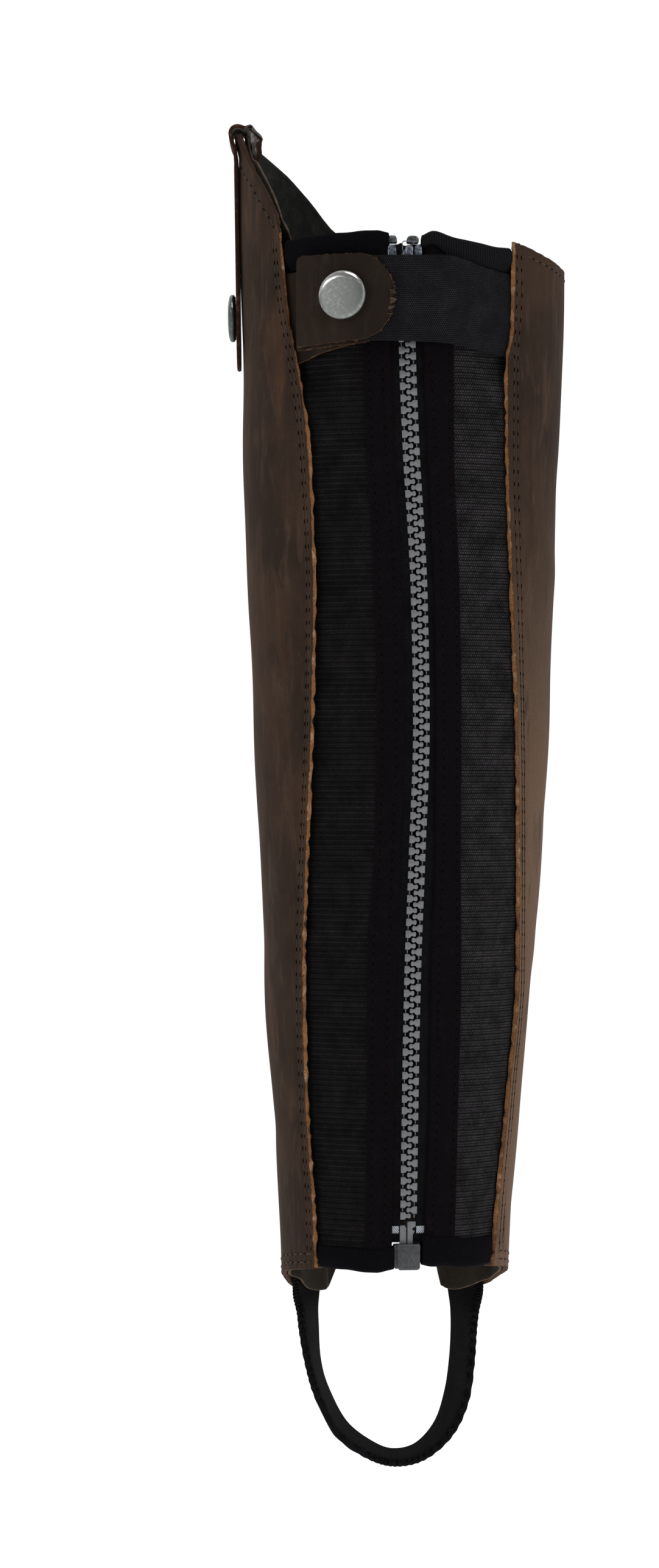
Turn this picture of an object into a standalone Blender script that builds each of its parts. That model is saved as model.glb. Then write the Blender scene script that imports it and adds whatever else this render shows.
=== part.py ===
"""Half chap for riding: a leather wrap round the lower leg, closed by a zip down the back.

Metres, +Z up. The leg stands along Z, its front towards +Y and the zip towards -Y, with the
outer side of the leg at -X. The origin is on the leg's line at the height of the calf strap.
A place on the leg is an angle round it, 0 at the middle of the back and 90 at +X, a height,
and a distance out from the leather's outer face. Tables are in millimetres and degrees.
"""

from math import asin, atan2, cos, degrees, pi, radians, sin

import bmesh
import bpy
import numpy as np
from mathutils import Matrix, Vector

MM = 0.001
GAP = 0.3  # between pieces that touch
LAYER_GAP = 0.4  # between two sheets that lie on each other

# ---------------------------------------------------------------------------------------
# The leg: half widths and depths of the leather's outer face
# ---------------------------------------------------------------------------------------

LEG_COLUMNS = ("z", "left", "right", "front", "back")
LEG = (
    (-370, -43.3, 39.5, 47.0, -42.5),
    (-328, -45.2, 42.1, 48.0, -44.0),
    (-300, -46.8, 44.6, 49.0, -46.0),
    (-246, -50.5, 49.2, 51.0, -51.0),
    (-191, -52.7, 53.8, 53.0, -55.0),
    (-137, -55.1, 56.2, 54.5, -59.0),
    (-82, -57.4, 57.9, 55.5, -62.0),
    (-28, -58.6, 60.3, 56.5, -61.5),
    (27, -59.4, 61.6, 57.0, -59.0),
    (66, -60.0, 62.2, 57.0, -58.0),
)

# Lines down the back, as X at each height: the leather's two cut edges, the seams between
# the side elastics and the zip panels, and the middle of the zip with the right panel's edge.
BACK_COLUMNS = ("z", "leather_left", "seam_left", "zip", "panel_right", "seam_right", "leather_right")
BACK = (
    (-354, -31.3, -14.2, 2.6, 8.4, 19.8, 34.2),
    (-331, -31.9, -13.7, 2.9, 9.3, 20.8, 36.2),
    (-290, -34.3, -13.1, 3.4, 10.8, 21.7, 40.3),
    (-245, -35.2, -13.1, 4.2, 11.1, 22.6, 43.8),
    (-200, -33.9, -10.5, 5.8, 12.6, 22.2, 43.6),
    (-155, -32.1, -9.5, 7.3, 12.8, 22.3, 42.7),
    (-107, -31.2, -10.4, 6.4, 12.0, 21.5, 40.6),
    (-54, -33.4, -13.2, 3.3, 9.3, 19.3, 38.7),
    (-23, -38.0, -14.5, 2.0, 8.0, 19.2, 38.4),
    (-10, -40.5, -14.8, 1.7, 7.8, 19.2, 40.9),
    (24, -44.2, -15.3, 1.0, 7.6, 19.2, 41.5),
)

# Edges of the leather, as height at each angle: a peak on the leg's outer side at 270, and a
# hem that dips where the stirrup is sewn in and rises over the instep at 180.
TOP_COLUMNS = ("angle", "z")
TOP = (
    (42, 21.6),
    (57, 18.6),
    (82, 15.4),
    (110, 15.8),
    (150, 21.0),
    (180, 28.5),
    (204, 35.6),
    (218, 48.9),
    (230, 57.6),
    (246, 63.4),
    (258, 65.4),
    (272, 65.9),
    (283, 64.8),
    (290, 59.0),
    (303, 42.8),
    (309, 33.0),
    (314, 20.0),
)
HEM_COLUMNS = ("angle", "z")
HEM = (
    (53, -351.9),
    (75, -354.0),
    (103, -359.2),
    (124, -365.0),
    (140, -367.3),
    (147, -366.6),
    (154, -358.5),
    (180, -350.0),
    (213, -358.5),
    (220, -366.6),
    (230, -367.0),
    (245, -365.4),
    (262, -359.6),
    (286, -355.2),
    (319, -352.1),
)

# The back's own top and bottom folds, as height at each X
FOLD_COLUMNS = ("x", "top", "bottom")
FOLD = (
    (-43, 23.2, -352.3),
    (-28, 24.1, -352.3),
    (-10, 24.8, -353.2),
    (-5, 23.6, -352.0),
    (7, 22.9, -350.2),
    (12, 24.3, -350.8),
    (22, 21.8, -351.8),
    (31, 20.6, -352.4),
    (41, 19.5, -352.4),
)

# ---------------------------------------------------------------------------------------
# Thicknesses and depths of the layers, out from the leather's outer face
# ---------------------------------------------------------------------------------------

LEATHER = 1.8
LINING = 0.9
ELASTIC = 1.3
PANEL = 1.3
TAPE = 0.8
BINDING = 0.8
TAB_LEATHER = 1.4
STRAP_ELASTIC = 1.4
STIRRUP_ELASTIC = 2.6

LINING_FACE = -LEATHER - LAYER_GAP
ELASTIC_FACE = -LEATHER - LAYER_GAP
TAPE_FACE = ELASTIC_FACE - PANEL - LAYER_GAP
CHAIN_FACE = -2.6
CHAIN_DEPTH = 3.0
CHAIN_MIDDLE = CHAIN_FACE - CHAIN_DEPTH / 2
BINDING_OUTER = -1.4
BINDING_INNER = -5.4

SEAM_ALLOWANCE = 10.0  # degrees that an elastic runs on under the leather
CHAIN_HALF = 3.25
PANEL_EDGE = 6.3  # left panel's edge from the zip's middle
TAPE_HALF = 11.0
CHAIN_TOP, CHAIN_BOTTOM = 15.3, -334.2
TAPE_TOP, TAPE_BOTTOM = 19.5, -341.9

# The side elastics lie deeper where the calf strap and its base tab run under the leather
SINK_DEPTH = 2.0
SINK_ANGLES = (22.0, 34.0)  # degrees from the middle of the back where it starts and is full
SINK_HEIGHTS = (-36.0, -26.0, 10.5, 16.5)  # starts, is full, is full, ends

# The lining leaves the leather behind the elastics' hidden edges and the stirrup's sewn ends
LINING_BEHIND = SEAM_ALLOWANCE + 8.5  # degrees from a cut edge
LINING_BEHIND_RAMP = 4.5
LINING_BEHIND_TOP = (26.0, 30.0)  # full below the first height, none above the second
LINING_SINK_WIDER = 12.0
LINING_INSET = 0.6  # degrees from the leather's cut edges
LINING_PROUD = 2.2  # stands past the leather down the peak's back slope
PEAK_BACK_ANGLES = (284.0, 289.0)  # where that slope starts and the lining is fully proud

# ---------------------------------------------------------------------------------------
# Calf strap, tabs and press studs
# ---------------------------------------------------------------------------------------

TAB_LEFT, TAB_ARC, TAB_TIP = -38.2, -16.0, -3.2
TAB_TOP, TAB_FOOT_LEFT, TAB_FOOT_ARC = 15.4, -17.4, -15.6
TAB_INNER_DROP = 0.9
BASE_TAB_FACE = 1.0
TAB_INNER_FACE = BASE_TAB_FACE + GAP + TAB_LEATHER
STRAP_FACE = TAB_INNER_FACE + GAP + STRAP_ELASTIC
TAB_OUTER_FACE = STRAP_FACE + GAP + TAB_LEATHER
BURIED_FACE = -LEATHER - GAP  # of what runs under the leather

BASE_TAB_THICK = 1.6
BASE_TAB_END = -9.0
BASE_TAB_UNDER = 8.0  # degrees that it runs on under the left leather edge
BASE_TAB_MIDDLE = -6.0
BASE_TAB_TOPS = (10.4, 12.4)  # at the hidden end and at the other
BASE_TAB_FEET = (-24.6, -14.6)
BASE_TAB_RISE = (2.5, 12.5)  # degrees from the leather's edge where it starts and ends rising

STRAP_COLUMNS = ("x", "top", "bottom")
STRAP = (
    (-35, 14.6, -15.2),
    (4, 15.4, -16.0),
    (15, 15.2, -16.5),
    (22, 13.7, -17.4),
    (31, 11.5, -19.0),
    (50, 9.0, -20.4),
)
STRAP_UNDER = 8.0  # degrees that the strap runs on under the right leather edge
STRAP_DIVE = (8.0, 39.0)  # angles where it leaves its proud level and where it is buried
STRAP_HIDDEN = 3.0  # starts this far inside the tabs' left end

CAP_RADIUS = 8.85
CAP_HEIGHT = 3.0
CAP_X, CAP_Z = -21.2, 0.3
PEAK_CAP_Z = -1.4

# Peak strap, looped over the peak's tip and hanging flat down its outside. The loop runs from
# the outer leg to the inner end, which follows the lining and flares towards the back.
PEAK_ANGLE = 270.0
PEAK_STRAP_HALF = 11.5
PEAK_STRAP_THICK = 1.4
PEAK_LOOP_COLUMNS = ("step", "out", "z", "flare", "hug")
PEAK_LOOP = (
    (0, 0.95, 55.0, 0.0, 0.0),
    (1, 1.2, 60.0, 0.0, 0.0),
    (2, 2.3, 63.2, 0.0, 0.0),
    (3, 2.9, 66.2, 0.0, 0.0),
    (4, 2.1, 68.2, 0.0, 0.0),
    (5, 0.3, 68.9, 0.0, 0.0),
    (6, -1.7, 68.4, 0.0, 0.0),
    (7, -3.5, 67.2, 1.5, 0.4),
    (8, -4.6, 65.2, 3.5, 0.8),
    (9, -4.8, 61.5, 4.5, 1.0),
    (10, -4.8, 53.0, 3.5, 1.0),
)
PEAK_STRAP_FOOT = -20.7
PEAK_FOOT_ROUND = 9.0
PEAK_FOOT_TURN = 84.0  # degrees round the foot's rounding, short of a point
PEAK_FOOT_FLAT = 0.25  # share of the width that is left there

# Stirrup: heights and places of its near and far edges below the hem
STIRRUP_COLUMNS = ("x_near", "z_near", "x_far", "z_far", "y_near", "y_far")
STIRRUP_LEFT_ANGLES = (255.0, 229.0)
STIRRUP_RIGHT_ANGLES = (120.5, 146.5)
STIRRUP_POCKET = (-351.5, -357.0, -362.5)
STIRRUP_ROOM = STIRRUP_ELASTIC + 0.65  # a sewn end with a gap on each face
STIRRUP_ROOM_HEIGHTS = (-341.0, -349.0)  # where the lining starts to make room and is clear
STIRRUP_ROOM_SIDES = (9.0, 2.5)  # the same, in degrees beside an end
STIRRUP = (
    (-37.6, -370, -31.6, -370, 11.8, 29.4),
    (-36.4, -381, -31.4, -381, 12.2, 30.0),
    (-34.0, -394, -30.6, -394, 12.8, 31.0),
    (-30.4, -406, -27.6, -405, 13.4, 32.2),
    (-22.9, -420, -20.4, -418.6, 14.0, 33.4),
    (-11.2, -428.2, -10.0, -426.8, 14.4, 34.2),
    (-1.2, -431.0, -1.6, -429.6, 15.0, 34.8),
    (9.6, -428.6, 7.4, -427.2, 15.8, 35.2),
    (19.6, -420, 14.9, -418.6, 17.0, 35.6),
    (25.4, -408, 18.8, -406.6, 18.8, 36.0),
    (27.6, -394, 20.6, -394, 20.4, 36.4),
    (28.6, -381, 21.2, -381, 21.6, 36.8),
    (30.0, -370, 20.6, -370, 22.2, 37.0),
)

# ---------------------------------------------------------------------------------------
# Zip ends
# ---------------------------------------------------------------------------------------

SLIDER_X = 1.0
SLIDER_LOW, SLIDER_HIGH = 4.6, 19.4
SLIDER_HALF = 6.0
SLIDER_PLATE = 1.2
SLIDER_REAR_INSET = 0.8
WEDGE_WIDTH = 3.6
WEDGE_CLEAR = 0.5  # above the chain's last tooth, and below the plates' top
BRIDGE_COLUMNS = ("name", "width", "depth", "height", "out", "z")
BRIDGE = (
    ("slider_bridge_post", 2.0, 3.0, 2.0, 1.6, 6.05),
    ("slider_bridge", 2.6, 0.9, 14.0, 3.1, 1.75),
    ("slider_bridge_foot", 2.0, 3.0, 1.4, 1.6, -4.25),
)

PULL_HALF = 3.4
PULL_TOP, PULL_FOOT = 12.6, -12.5
PULL_THICK = 1.3
PULL_FACE = 0.6
PULL_AXIS_Z = 11.2
PULL_EYE = (3.6, 4.0, 4.6)
PULL_EYE_Z = 7.6

ZIP_END_COLUMNS = ("name", "metal", "x", "z", "width", "depth", "height", "rounding")
ZIP_ENDS = (
    ("zip_top_stop_left", True, -3.3, 21.2, 3.2, 3.4, 2.8, 0.6),
    ("zip_top_stop_right", True, 4.3, 21.2, 3.6, 3.4, 2.8, 0.6),
    ("zip_pin_left", False, 0.9, -338.2, 2.2, 2.4, 7.2, 0.4),
    ("zip_pin_right", False, 4.3, -338.2, 3.0, 2.4, 7.2, 0.4),
    ("zip_box", False, 2.4, -346.95, 9.5, 5.0, 9.3, 0.6),
)


# ---------------------------------------------------------------------------------------
# The leg's surface
# ---------------------------------------------------------------------------------------

def curve_through(table, columns, key, name, at):
    """A column of a table at a place in between, on a smooth curve that never overshoots."""
    rows = np.array(table, dtype=float)
    xs = rows[:, columns.index(key)]
    ys = rows[:, columns.index(name)]
    at = min(max(at, xs[0]), xs[-1])
    spans = np.diff(xs)
    slopes = np.diff(ys) / spans
    inner = [0.0 if a * b <= 0 else 2 * a * b / (a + b) for a, b in zip(slopes, slopes[1:])]
    tangents = [slopes[0], *inner, slopes[-1]]
    k = min(int(np.searchsorted(xs, at, side="right")) - 1, len(spans) - 1)
    t = (at - xs[k]) / spans[k]
    rise = (3 - 2 * t) * t * t
    start = t * (1 - t) ** 2 * spans[k] * tangents[k]
    end = t * t * (t - 1) * spans[k] * tangents[k + 1]
    return float(ys[k] + (ys[k + 1] - ys[k]) * rise + start + end)


def leg_at(z):
    """Centre and half sizes of the leg's section at a height."""
    left, right, front, back = (curve_through(LEG, LEG_COLUMNS, "z", n, z) for n in LEG_COLUMNS[1:])
    return (left + right) / 2, (front + back) / 2, (right - left) / 2, (front - back) / 2


def on_leg(angle, z, out=0.0):
    """The point at an angle and a height, a distance out from the leather's outer face."""
    cx, cy, half_x, half_y = leg_at(z)
    a = radians(angle)
    return Vector((cx + (half_x + out) * sin(a), cy - (half_y + out) * cos(a), z)) * MM


def angle_at(x, z, out=0.0):
    """The angle on the back that has this X, on the leather's face or further out."""
    cx, _, half_x, _ = leg_at(z)
    return degrees(asin(max(-1.0, min(1.0, (x - cx) / (half_x + out)))))


def ease(t):
    """0 below 0, 1 above 1 and smooth between."""
    t = max(0.0, min(1.0, t))
    return t * t * (3 - 2 * t)


def mix(a, b, t):
    return a + (b - a) * t


def back_line(name, z):
    return curve_through(BACK, BACK_COLUMNS, "z", name, z)


def fold_line(name, x):
    return curve_through(FOLD, FOLD_COLUMNS, "x", name, x)


def leather_edges(z):
    """Angles of the leather's right and left cut edges, the left one past the front."""
    return angle_at(back_line("leather_right", z), z), angle_at(back_line("leather_left", z), z) + 360


def sink(angle, z, wider=0):
    """How far the side elastics lie deeper, to let the calf strap's ends under the leather."""
    start, full = SINK_ANGLES
    low, low_full, high_full, high = SINK_HEIGHTS
    across = ease((abs(angle) - start) / (full - start))
    rising = ease((z - low + wider) / (low_full - low))
    falling = ease((high + wider - z) / (high - high_full))
    return SINK_DEPTH * across * rising * falling


# ---------------------------------------------------------------------------------------
# Making pieces
# ---------------------------------------------------------------------------------------

def clear_scene():
    for obj in list(bpy.data.objects):
        bpy.data.objects.remove(obj, do_unlink=True)
    for group in list(bpy.data.collections):
        bpy.data.collections.remove(group)


def finish(name, colour, roughness, metallic=0.0):
    material = bpy.data.materials.new(name)
    material.use_nodes = True
    shader = material.node_tree.nodes["Principled BSDF"]
    shader.inputs["Base Color"].default_value = (*colour, 1.0)
    shader.inputs["Roughness"].default_value = roughness
    shader.inputs["Metallic"].default_value = metallic
    return material


def add_object(name, mesh, material, smooth_angle=35):
    mesh.name = name
    obj = bpy.data.objects.new(name, mesh)
    CHAP.objects.link(obj)
    mesh.materials.append(material)
    mesh.shade_smooth()
    mesh.set_sharp_from_angle(angle=radians(smooth_angle))
    return obj


def wall(name, columns, rows, place, thickness, material, middle=False):
    """A sheet whose points place(u, v) gives, thickened inwards or about its middle."""
    bm = bmesh.new()
    bmesh.ops.create_grid(bm, x_segments=columns, y_segments=rows, size=0.5)
    for vert in bm.verts:
        vert.co = place(vert.co.x + 0.5, vert.co.y + 0.5)
    mesh = bpy.data.meshes.new(name)
    bm.to_mesh(mesh)
    bm.free()
    obj = add_object(name, mesh, material)
    solid = obj.modifiers.new("Thickness", "SOLIDIFY")
    solid.thickness = thickness * MM
    solid.offset = 0.0 if middle else -1.0
    solid.use_even_offset = True
    return obj


def steps(values, t):
    """A list of stops read at 0 to 1, evenly by place in the list."""
    return float(np.interp(t * (len(values) - 1), range(len(values)), values))


def seat(x, z, out):
    """Local axes on the back: X along the surface, Y inwards and Z up it, at a place."""
    angle = angle_at(x, z)
    here = on_leg(angle, z, out)
    up = (on_leg(angle, z + 1, out) - on_leg(angle, z - 1, out)).normalized()
    along = (on_leg(angle + 1, z, out) - on_leg(angle - 1, z, out)).normalized()
    inward = up.cross(along).normalized()
    along = inward.cross(up)
    turn = Matrix((along, inward, up)).transposed().to_4x4()
    return Matrix.Translation(here) @ turn


def block(name, size, centre, place, material, bevel=0.3):
    """A box with rounded edges, given by its size and centre in the axes of its seat."""
    bm = bmesh.new()
    bmesh.ops.create_cube(bm, size=1.0)
    bmesh.ops.scale(bm, vec=Vector(size) * MM, verts=bm.verts)
    bmesh.ops.translate(bm, vec=Vector(centre) * MM, verts=bm.verts)
    bmesh.ops.transform(bm, matrix=place, verts=bm.verts)
    mesh = bpy.data.meshes.new(name)
    bm.to_mesh(mesh)
    bm.free()
    obj = add_object(name, mesh, material)
    if bevel:
        round_over = obj.modifiers.new("Rounded", "BEVEL")
        round_over.width = bevel * MM
        round_over.segments = 2
    return obj


def combine(target, operation, others):
    """Add overlapping blocks to the target, or cut them out of it."""
    for other in others:
        CHAP.objects.unlink(other)
        CUTTERS.objects.link(other)
        other.hide_render = True
        other.display_type = "WIRE"
        change = target.modifiers.new(other.name, "BOOLEAN")
        change.operation = operation
        change.solver = "EXACT"
        change.object = other
    return target


# ---------------------------------------------------------------------------------------
# Leather and lining
# ---------------------------------------------------------------------------------------

LEATHER_ROWS = (0, 0.012, 0.035, 0.07, 0.13, 0.21, 0.30, 0.40, 0.50, 0.60, 0.70, 0.80, 0.89, 0.95, 1)
LEATHER_STEPS = 46
CORNER_TOP, CORNER_FOOT = 22.0, -352.0  # heights of the wrap's corners at the back
LINING_STOPS = (
    0, 0.025, 0.05, 0.07, 0.10, 0.14, 0.175, 0.21, 0.235, 0.26, 0.285, 0.315, 0.345, 0.37, 0.40,
    0.44, 0.48, 0.52, 0.56, 0.60, 0.63, 0.655, 0.68, 0.71, 0.74, 0.765, 0.79, 0.82, 0.85, 0.88,
    0.905, 0.93, 0.95, 0.975, 1,
)
LINING_ROWS = (
    0, 0.016, 0.032, 0.048, 0.068, 0.11, 0.20, 0.31, 0.42, 0.53, 0.63, 0.71, 0.77, 0.82, 0.86, 0.90,
    0.935, 0.965, 1,
)


def wrap_point(u, v, out_at, rise_at=None, inset=0.0):
    """A point of the wrap: u runs from the right back edge round the front to the left one."""
    right_high, left_high = leather_edges(CORNER_TOP)
    right_low, left_low = leather_edges(CORNER_FOOT)
    high = mix(right_high, left_high, u)
    low = mix(right_low, left_low, u)
    top = curve_through(TOP, TOP_COLUMNS, "angle", "z", high)
    if rise_at:
        top += rise_at(high)
    z = mix(curve_through(HEM, HEM_COLUMNS, "angle", "z", low), top, v)
    right, left = leather_edges(z)
    angle = mix(right + inset, left - inset, u)
    return on_leg(angle, z, out_at(angle, z))


def make_leather(material):
    def on_face(angle, z):
        return 0.0

    def place(u, v):
        return wrap_point(u, steps(LEATHER_ROWS, v), on_face)
    return wall("leather_body", LEATHER_STEPS, len(LEATHER_ROWS) - 1, place, LEATHER, material)


def stirrup_room(angle, z):
    """Extra depth of the lining round the stirrup's two sewn ends."""
    high, low = STIRRUP_ROOM_HEIGHTS
    start, full = STIRRUP_ROOM_SIDES
    beside = 0.0
    for near, far in (STIRRUP_LEFT_ANGLES, STIRRUP_RIGHT_ANGLES):
        away = abs(angle - (near + far) / 2) - abs(near - far) / 2
        beside = max(beside, ease((start - away) / (start - full)))
    return STIRRUP_ROOM * beside * ease((high - z) / (high - low))


def lining_out(angle, z):
    """The lining lies on the leather, and behind the elastics along the two back edges."""
    right, left = leather_edges(z)
    from_edge = min(angle - right, left - angle)
    full_z, none_z = LINING_BEHIND_TOP
    behind = ease((LINING_BEHIND - from_edge) / LINING_BEHIND_RAMP) * ease((none_z - z) / (none_z - full_z))
    deeper = sink(min(angle, 360 - angle), z, LINING_SINK_WIDER)
    return LINING_FACE - (ELASTIC + LAYER_GAP + deeper) * behind - stirrup_room(angle, z)


def lining_rise(angle):
    start, full = PEAK_BACK_ANGLES
    return LINING_PROUD * ease((angle - start) / (full - start))


def make_lining(material):
    def place(u, v):
        across, up = steps(LINING_STOPS, u), steps(LINING_ROWS, v)
        return wrap_point(across, up, lining_out, lining_rise, LINING_INSET)
    return wall("lining", len(LINING_STOPS) - 1, len(LINING_ROWS) - 1, place, LINING, material)


# ---------------------------------------------------------------------------------------
# Back: elastics, zip panels, tapes, zip chain and bindings
# ---------------------------------------------------------------------------------------

BACK_ROWS = (
    0, 0.02, 0.06, 0.12, 0.20, 0.29, 0.38, 0.47, 0.56, 0.65, 0.74, 0.82, 0.87, 0.90, 0.93, 0.955,
    0.97, 0.98, 0.99, 1,
)
FOLD_RADIUS = (BINDING_OUTER - BINDING_INNER) / 2
FOLD_ROOM = FOLD_RADIUS + BINDING / 2  # from a binding's edge to the line where its fold starts


def back_strip(name, columns, left_at, right_at, face, thickness, material, span=None):
    """A strip down the back between two angles that change with height."""
    def place(u, v):
        low = fold_line("bottom", 0) + FOLD_ROOM if span is None else span[0]
        high = fold_line("top", 0) - FOLD_ROOM if span is None else span[1]
        z = mix(low, high, steps(BACK_ROWS, v))
        angle = mix(left_at(z), right_at(z), u)
        if span is None:
            x = (on_leg(angle, z) / MM).x
            low = fold_line("bottom", x) + FOLD_ROOM
            high = fold_line("top", x) - FOLD_ROOM
            z = mix(low, high, steps(BACK_ROWS, v))
            angle = mix(left_at(z), right_at(z), u)
        return on_leg(angle, z, face - sink(angle, z))
    return wall(name, columns, len(BACK_ROWS) - 1, place, thickness, material)


def line_x(name, shift):
    """X of one of the back's lines at each height, moved sideways by shift."""
    def at(z):
        return back_line(name, z) + shift
    return at


def line_angle(name, shift=0.0, turn=0.0):
    """The angle of one of the back's lines at each height, moved sideways and turned on."""
    def at(z):
        return angle_at(back_line(name, z) + shift, z) + turn
    return at


def make_back(elastic, suede, tape):
    half = GAP / 2
    back_strip("elastic_left", 8, line_angle("leather_left", turn=-SEAM_ALLOWANCE),
               line_angle("seam_left", -half), ELASTIC_FACE, ELASTIC, elastic)
    back_strip("elastic_right", 8, line_angle("seam_right", half),
               line_angle("leather_right", turn=SEAM_ALLOWANCE), ELASTIC_FACE, ELASTIC, elastic)
    back_strip("zip_panel_left", 2, line_angle("seam_left", half), line_angle("zip", -PANEL_EDGE),
               ELASTIC_FACE, PANEL, suede)
    back_strip("zip_panel_right", 2, line_angle("panel_right"), line_angle("seam_right", -half),
               ELASTIC_FACE, PANEL, suede)
    inner = CHAIN_HALF + GAP
    tape_span = (TAPE_BOTTOM, TAPE_TOP)
    back_strip("zip_tape_left", 1, line_angle("zip", -TAPE_HALF), line_angle("zip", -inner),
               TAPE_FACE, TAPE, tape, tape_span)
    back_strip("zip_tape_right", 1, line_angle("zip", inner), line_angle("zip", TAPE_HALF),
               TAPE_FACE, TAPE, tape, tape_span)


def make_chain(material):
    back_strip("zip_chain", 2, line_angle("zip", -CHAIN_HALF), line_angle("zip", CHAIN_HALF),
               CHAIN_FACE, CHAIN_DEPTH, material, (CHAIN_BOTTOM, CHAIN_TOP))


BINDING_BEND = 5  # faces round a binding's fold
BINDING_LEG = 3  # faces down each of its legs
BINDING_CLEAR = 0.6  # from the leather's cut edges
TOP_BAND_ENDS = (-5.4, 7.6)  # X of the top bands' ends beside the zip
HEM_BAND_ENDS = (-3.8, 8.2)
TOP_REACH_LEFT = 9.0  # how far down the outer leg comes
TOP_REACH_RIGHT = (2.0, 6.3)  # beside the zip and further out
TOP_REACH_TURN = (9.0, 21.0)  # X between which it widens
HEM_REACHES = (5.8, 8.4)


def always(value):
    def at(_):
        return value
    return at


def top_reach_right(x):
    start, full = TOP_REACH_TURN
    narrow, wide = TOP_REACH_RIGHT
    return mix(narrow, wide, ease((x - start) / (full - start)))


def binding(name, line, sign, left_x, right_x, reach_at, material, columns):
    """Tape folded over an edge of the back: an outer leg, a fold and an inner leg."""
    middle = (BINDING_OUTER + BINDING_INNER) / 2
    rows = BINDING_BEND + 2 * BINDING_LEG

    def place(u, v):
        edge_z = fold_line(line, 0)
        x = mix(left_x(edge_z), right_x(edge_z), u)
        fold_z = fold_line(line, x) - sign * FOLD_ROOM
        foot_z = fold_z - sign * reach_at(x)
        step = v * rows
        if step <= BINDING_LEG:
            out, z = BINDING_OUTER, mix(foot_z, fold_z, step / BINDING_LEG)
        elif step >= BINDING_BEND + BINDING_LEG:
            out, z = BINDING_INNER, mix(fold_z, foot_z, (step - BINDING_BEND - BINDING_LEG) / BINDING_LEG)
        else:
            turn = pi * (step - BINDING_LEG) / BINDING_BEND
            out, z = middle + FOLD_RADIUS * cos(turn), fold_z + sign * FOLD_RADIUS * sin(turn)
        angle = angle_at(mix(left_x(z), right_x(z), u), z)
        return on_leg(angle, z, out - sink(angle, z))

    def upside_down(u, v):
        return place(u, 1 - v)
    return wall(name, columns, rows, place if sign > 0 else upside_down, BINDING, material, middle=True)


def make_bindings(material):
    from_leather = line_x("leather_left", BINDING_CLEAR)
    to_leather = line_x("leather_right", -BINDING_CLEAR)
    top_left, top_right = (always(x) for x in TOP_BAND_ENDS)
    hem_left, hem_right = (always(x) for x in HEM_BAND_ENDS)
    reach_left, reach_right = (always(reach) for reach in HEM_REACHES)
    binding("top_band_left", "top", 1, from_leather, top_left, always(TOP_REACH_LEFT), material, 8)
    binding("top_band_right", "top", 1, top_right, to_leather, top_reach_right, material, 8)
    binding("hem_band_left", "bottom", -1, from_leather, hem_left, reach_left, material, 6)
    binding("hem_band_right", "bottom", -1, hem_right, to_leather, reach_right, material, 6)


# ---------------------------------------------------------------------------------------
# Calf strap with its tab, on a base tab
# ---------------------------------------------------------------------------------------

TAB_STOPS = 6  # columns along the straight part
TAB_TURNS = (0, 15, 30, 45, 60, 74, 86)  # degrees round the tip


def strap_out(angle):
    """The strap stands proud over the slider and dives under the right leather edge."""
    start, full = STRAP_DIVE
    return mix(STRAP_FACE, BURIED_FACE, ease((angle - start) / (full - start)))


def tab_outline(step):
    """X, top and bottom of the tab at a column."""
    if step <= TAB_STOPS:
        x = mix(TAB_LEFT, TAB_ARC, step / TAB_STOPS)
        return x, TAB_TOP, mix(TAB_FOOT_LEFT, TAB_FOOT_ARC, step / TAB_STOPS)
    turn = radians(steps(TAB_TURNS, (step - TAB_STOPS) / (len(TAB_TURNS) - 1)))
    x = TAB_ARC + (TAB_TIP - TAB_ARC) * sin(turn)
    middle = (TAB_TOP + TAB_FOOT_ARC) / 2
    half = (TAB_TOP - TAB_FOOT_ARC) / 2 * cos(turn)
    return x, middle + half, middle - half


def make_tab(name, face, drop, material):
    columns = TAB_STOPS + len(TAB_TURNS) - 1

    def place(u, v):
        x, top, bottom = tab_outline(u * columns)
        z = mix(bottom, top, v) - drop
        return on_leg(angle_at(x, z, face), z, face)
    return wall(name, columns, 4, place, TAB_LEATHER, material)


def make_base_tab(material):
    first = line_angle("leather_left", turn=-BASE_TAB_UNDER)(BASE_TAB_MIDDLE)
    last = angle_at(BASE_TAB_END, BASE_TAB_MIDDLE)
    start, full = BASE_TAB_RISE

    def place(u, v):
        angle = mix(first, last, u)
        z = mix(mix(*BASE_TAB_FEET, u), mix(*BASE_TAB_TOPS, u), v)
        past_edge = angle - line_angle("leather_left")(z)
        out = mix(BURIED_FACE, BASE_TAB_FACE, ease((past_edge - start) / (full - start)))
        return on_leg(angle, z, out)
    return wall("base_tab", 12, 4, place, BASE_TAB_THICK, material)


def strap_edge(name, x):
    return curve_through(STRAP, STRAP_COLUMNS, "x", name, x)


def make_calf_strap(material):
    left = angle_at(TAB_LEFT + STRAP_HIDDEN, 0, STRAP_FACE)
    right_at = line_angle("leather_right", turn=STRAP_UNDER)

    def place(u, v):
        z = 0.0
        for _ in range(3):  # the edges depend on X, and X on the height
            angle = mix(left, right_at(z), u)
            x = (on_leg(angle, z) / MM).x
            z = mix(strap_edge("bottom", x), strap_edge("top", x), v)
        return on_leg(angle, z, strap_out(angle))
    return wall("calf_strap", 18, 5, place, STRAP_ELASTIC, material)


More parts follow.
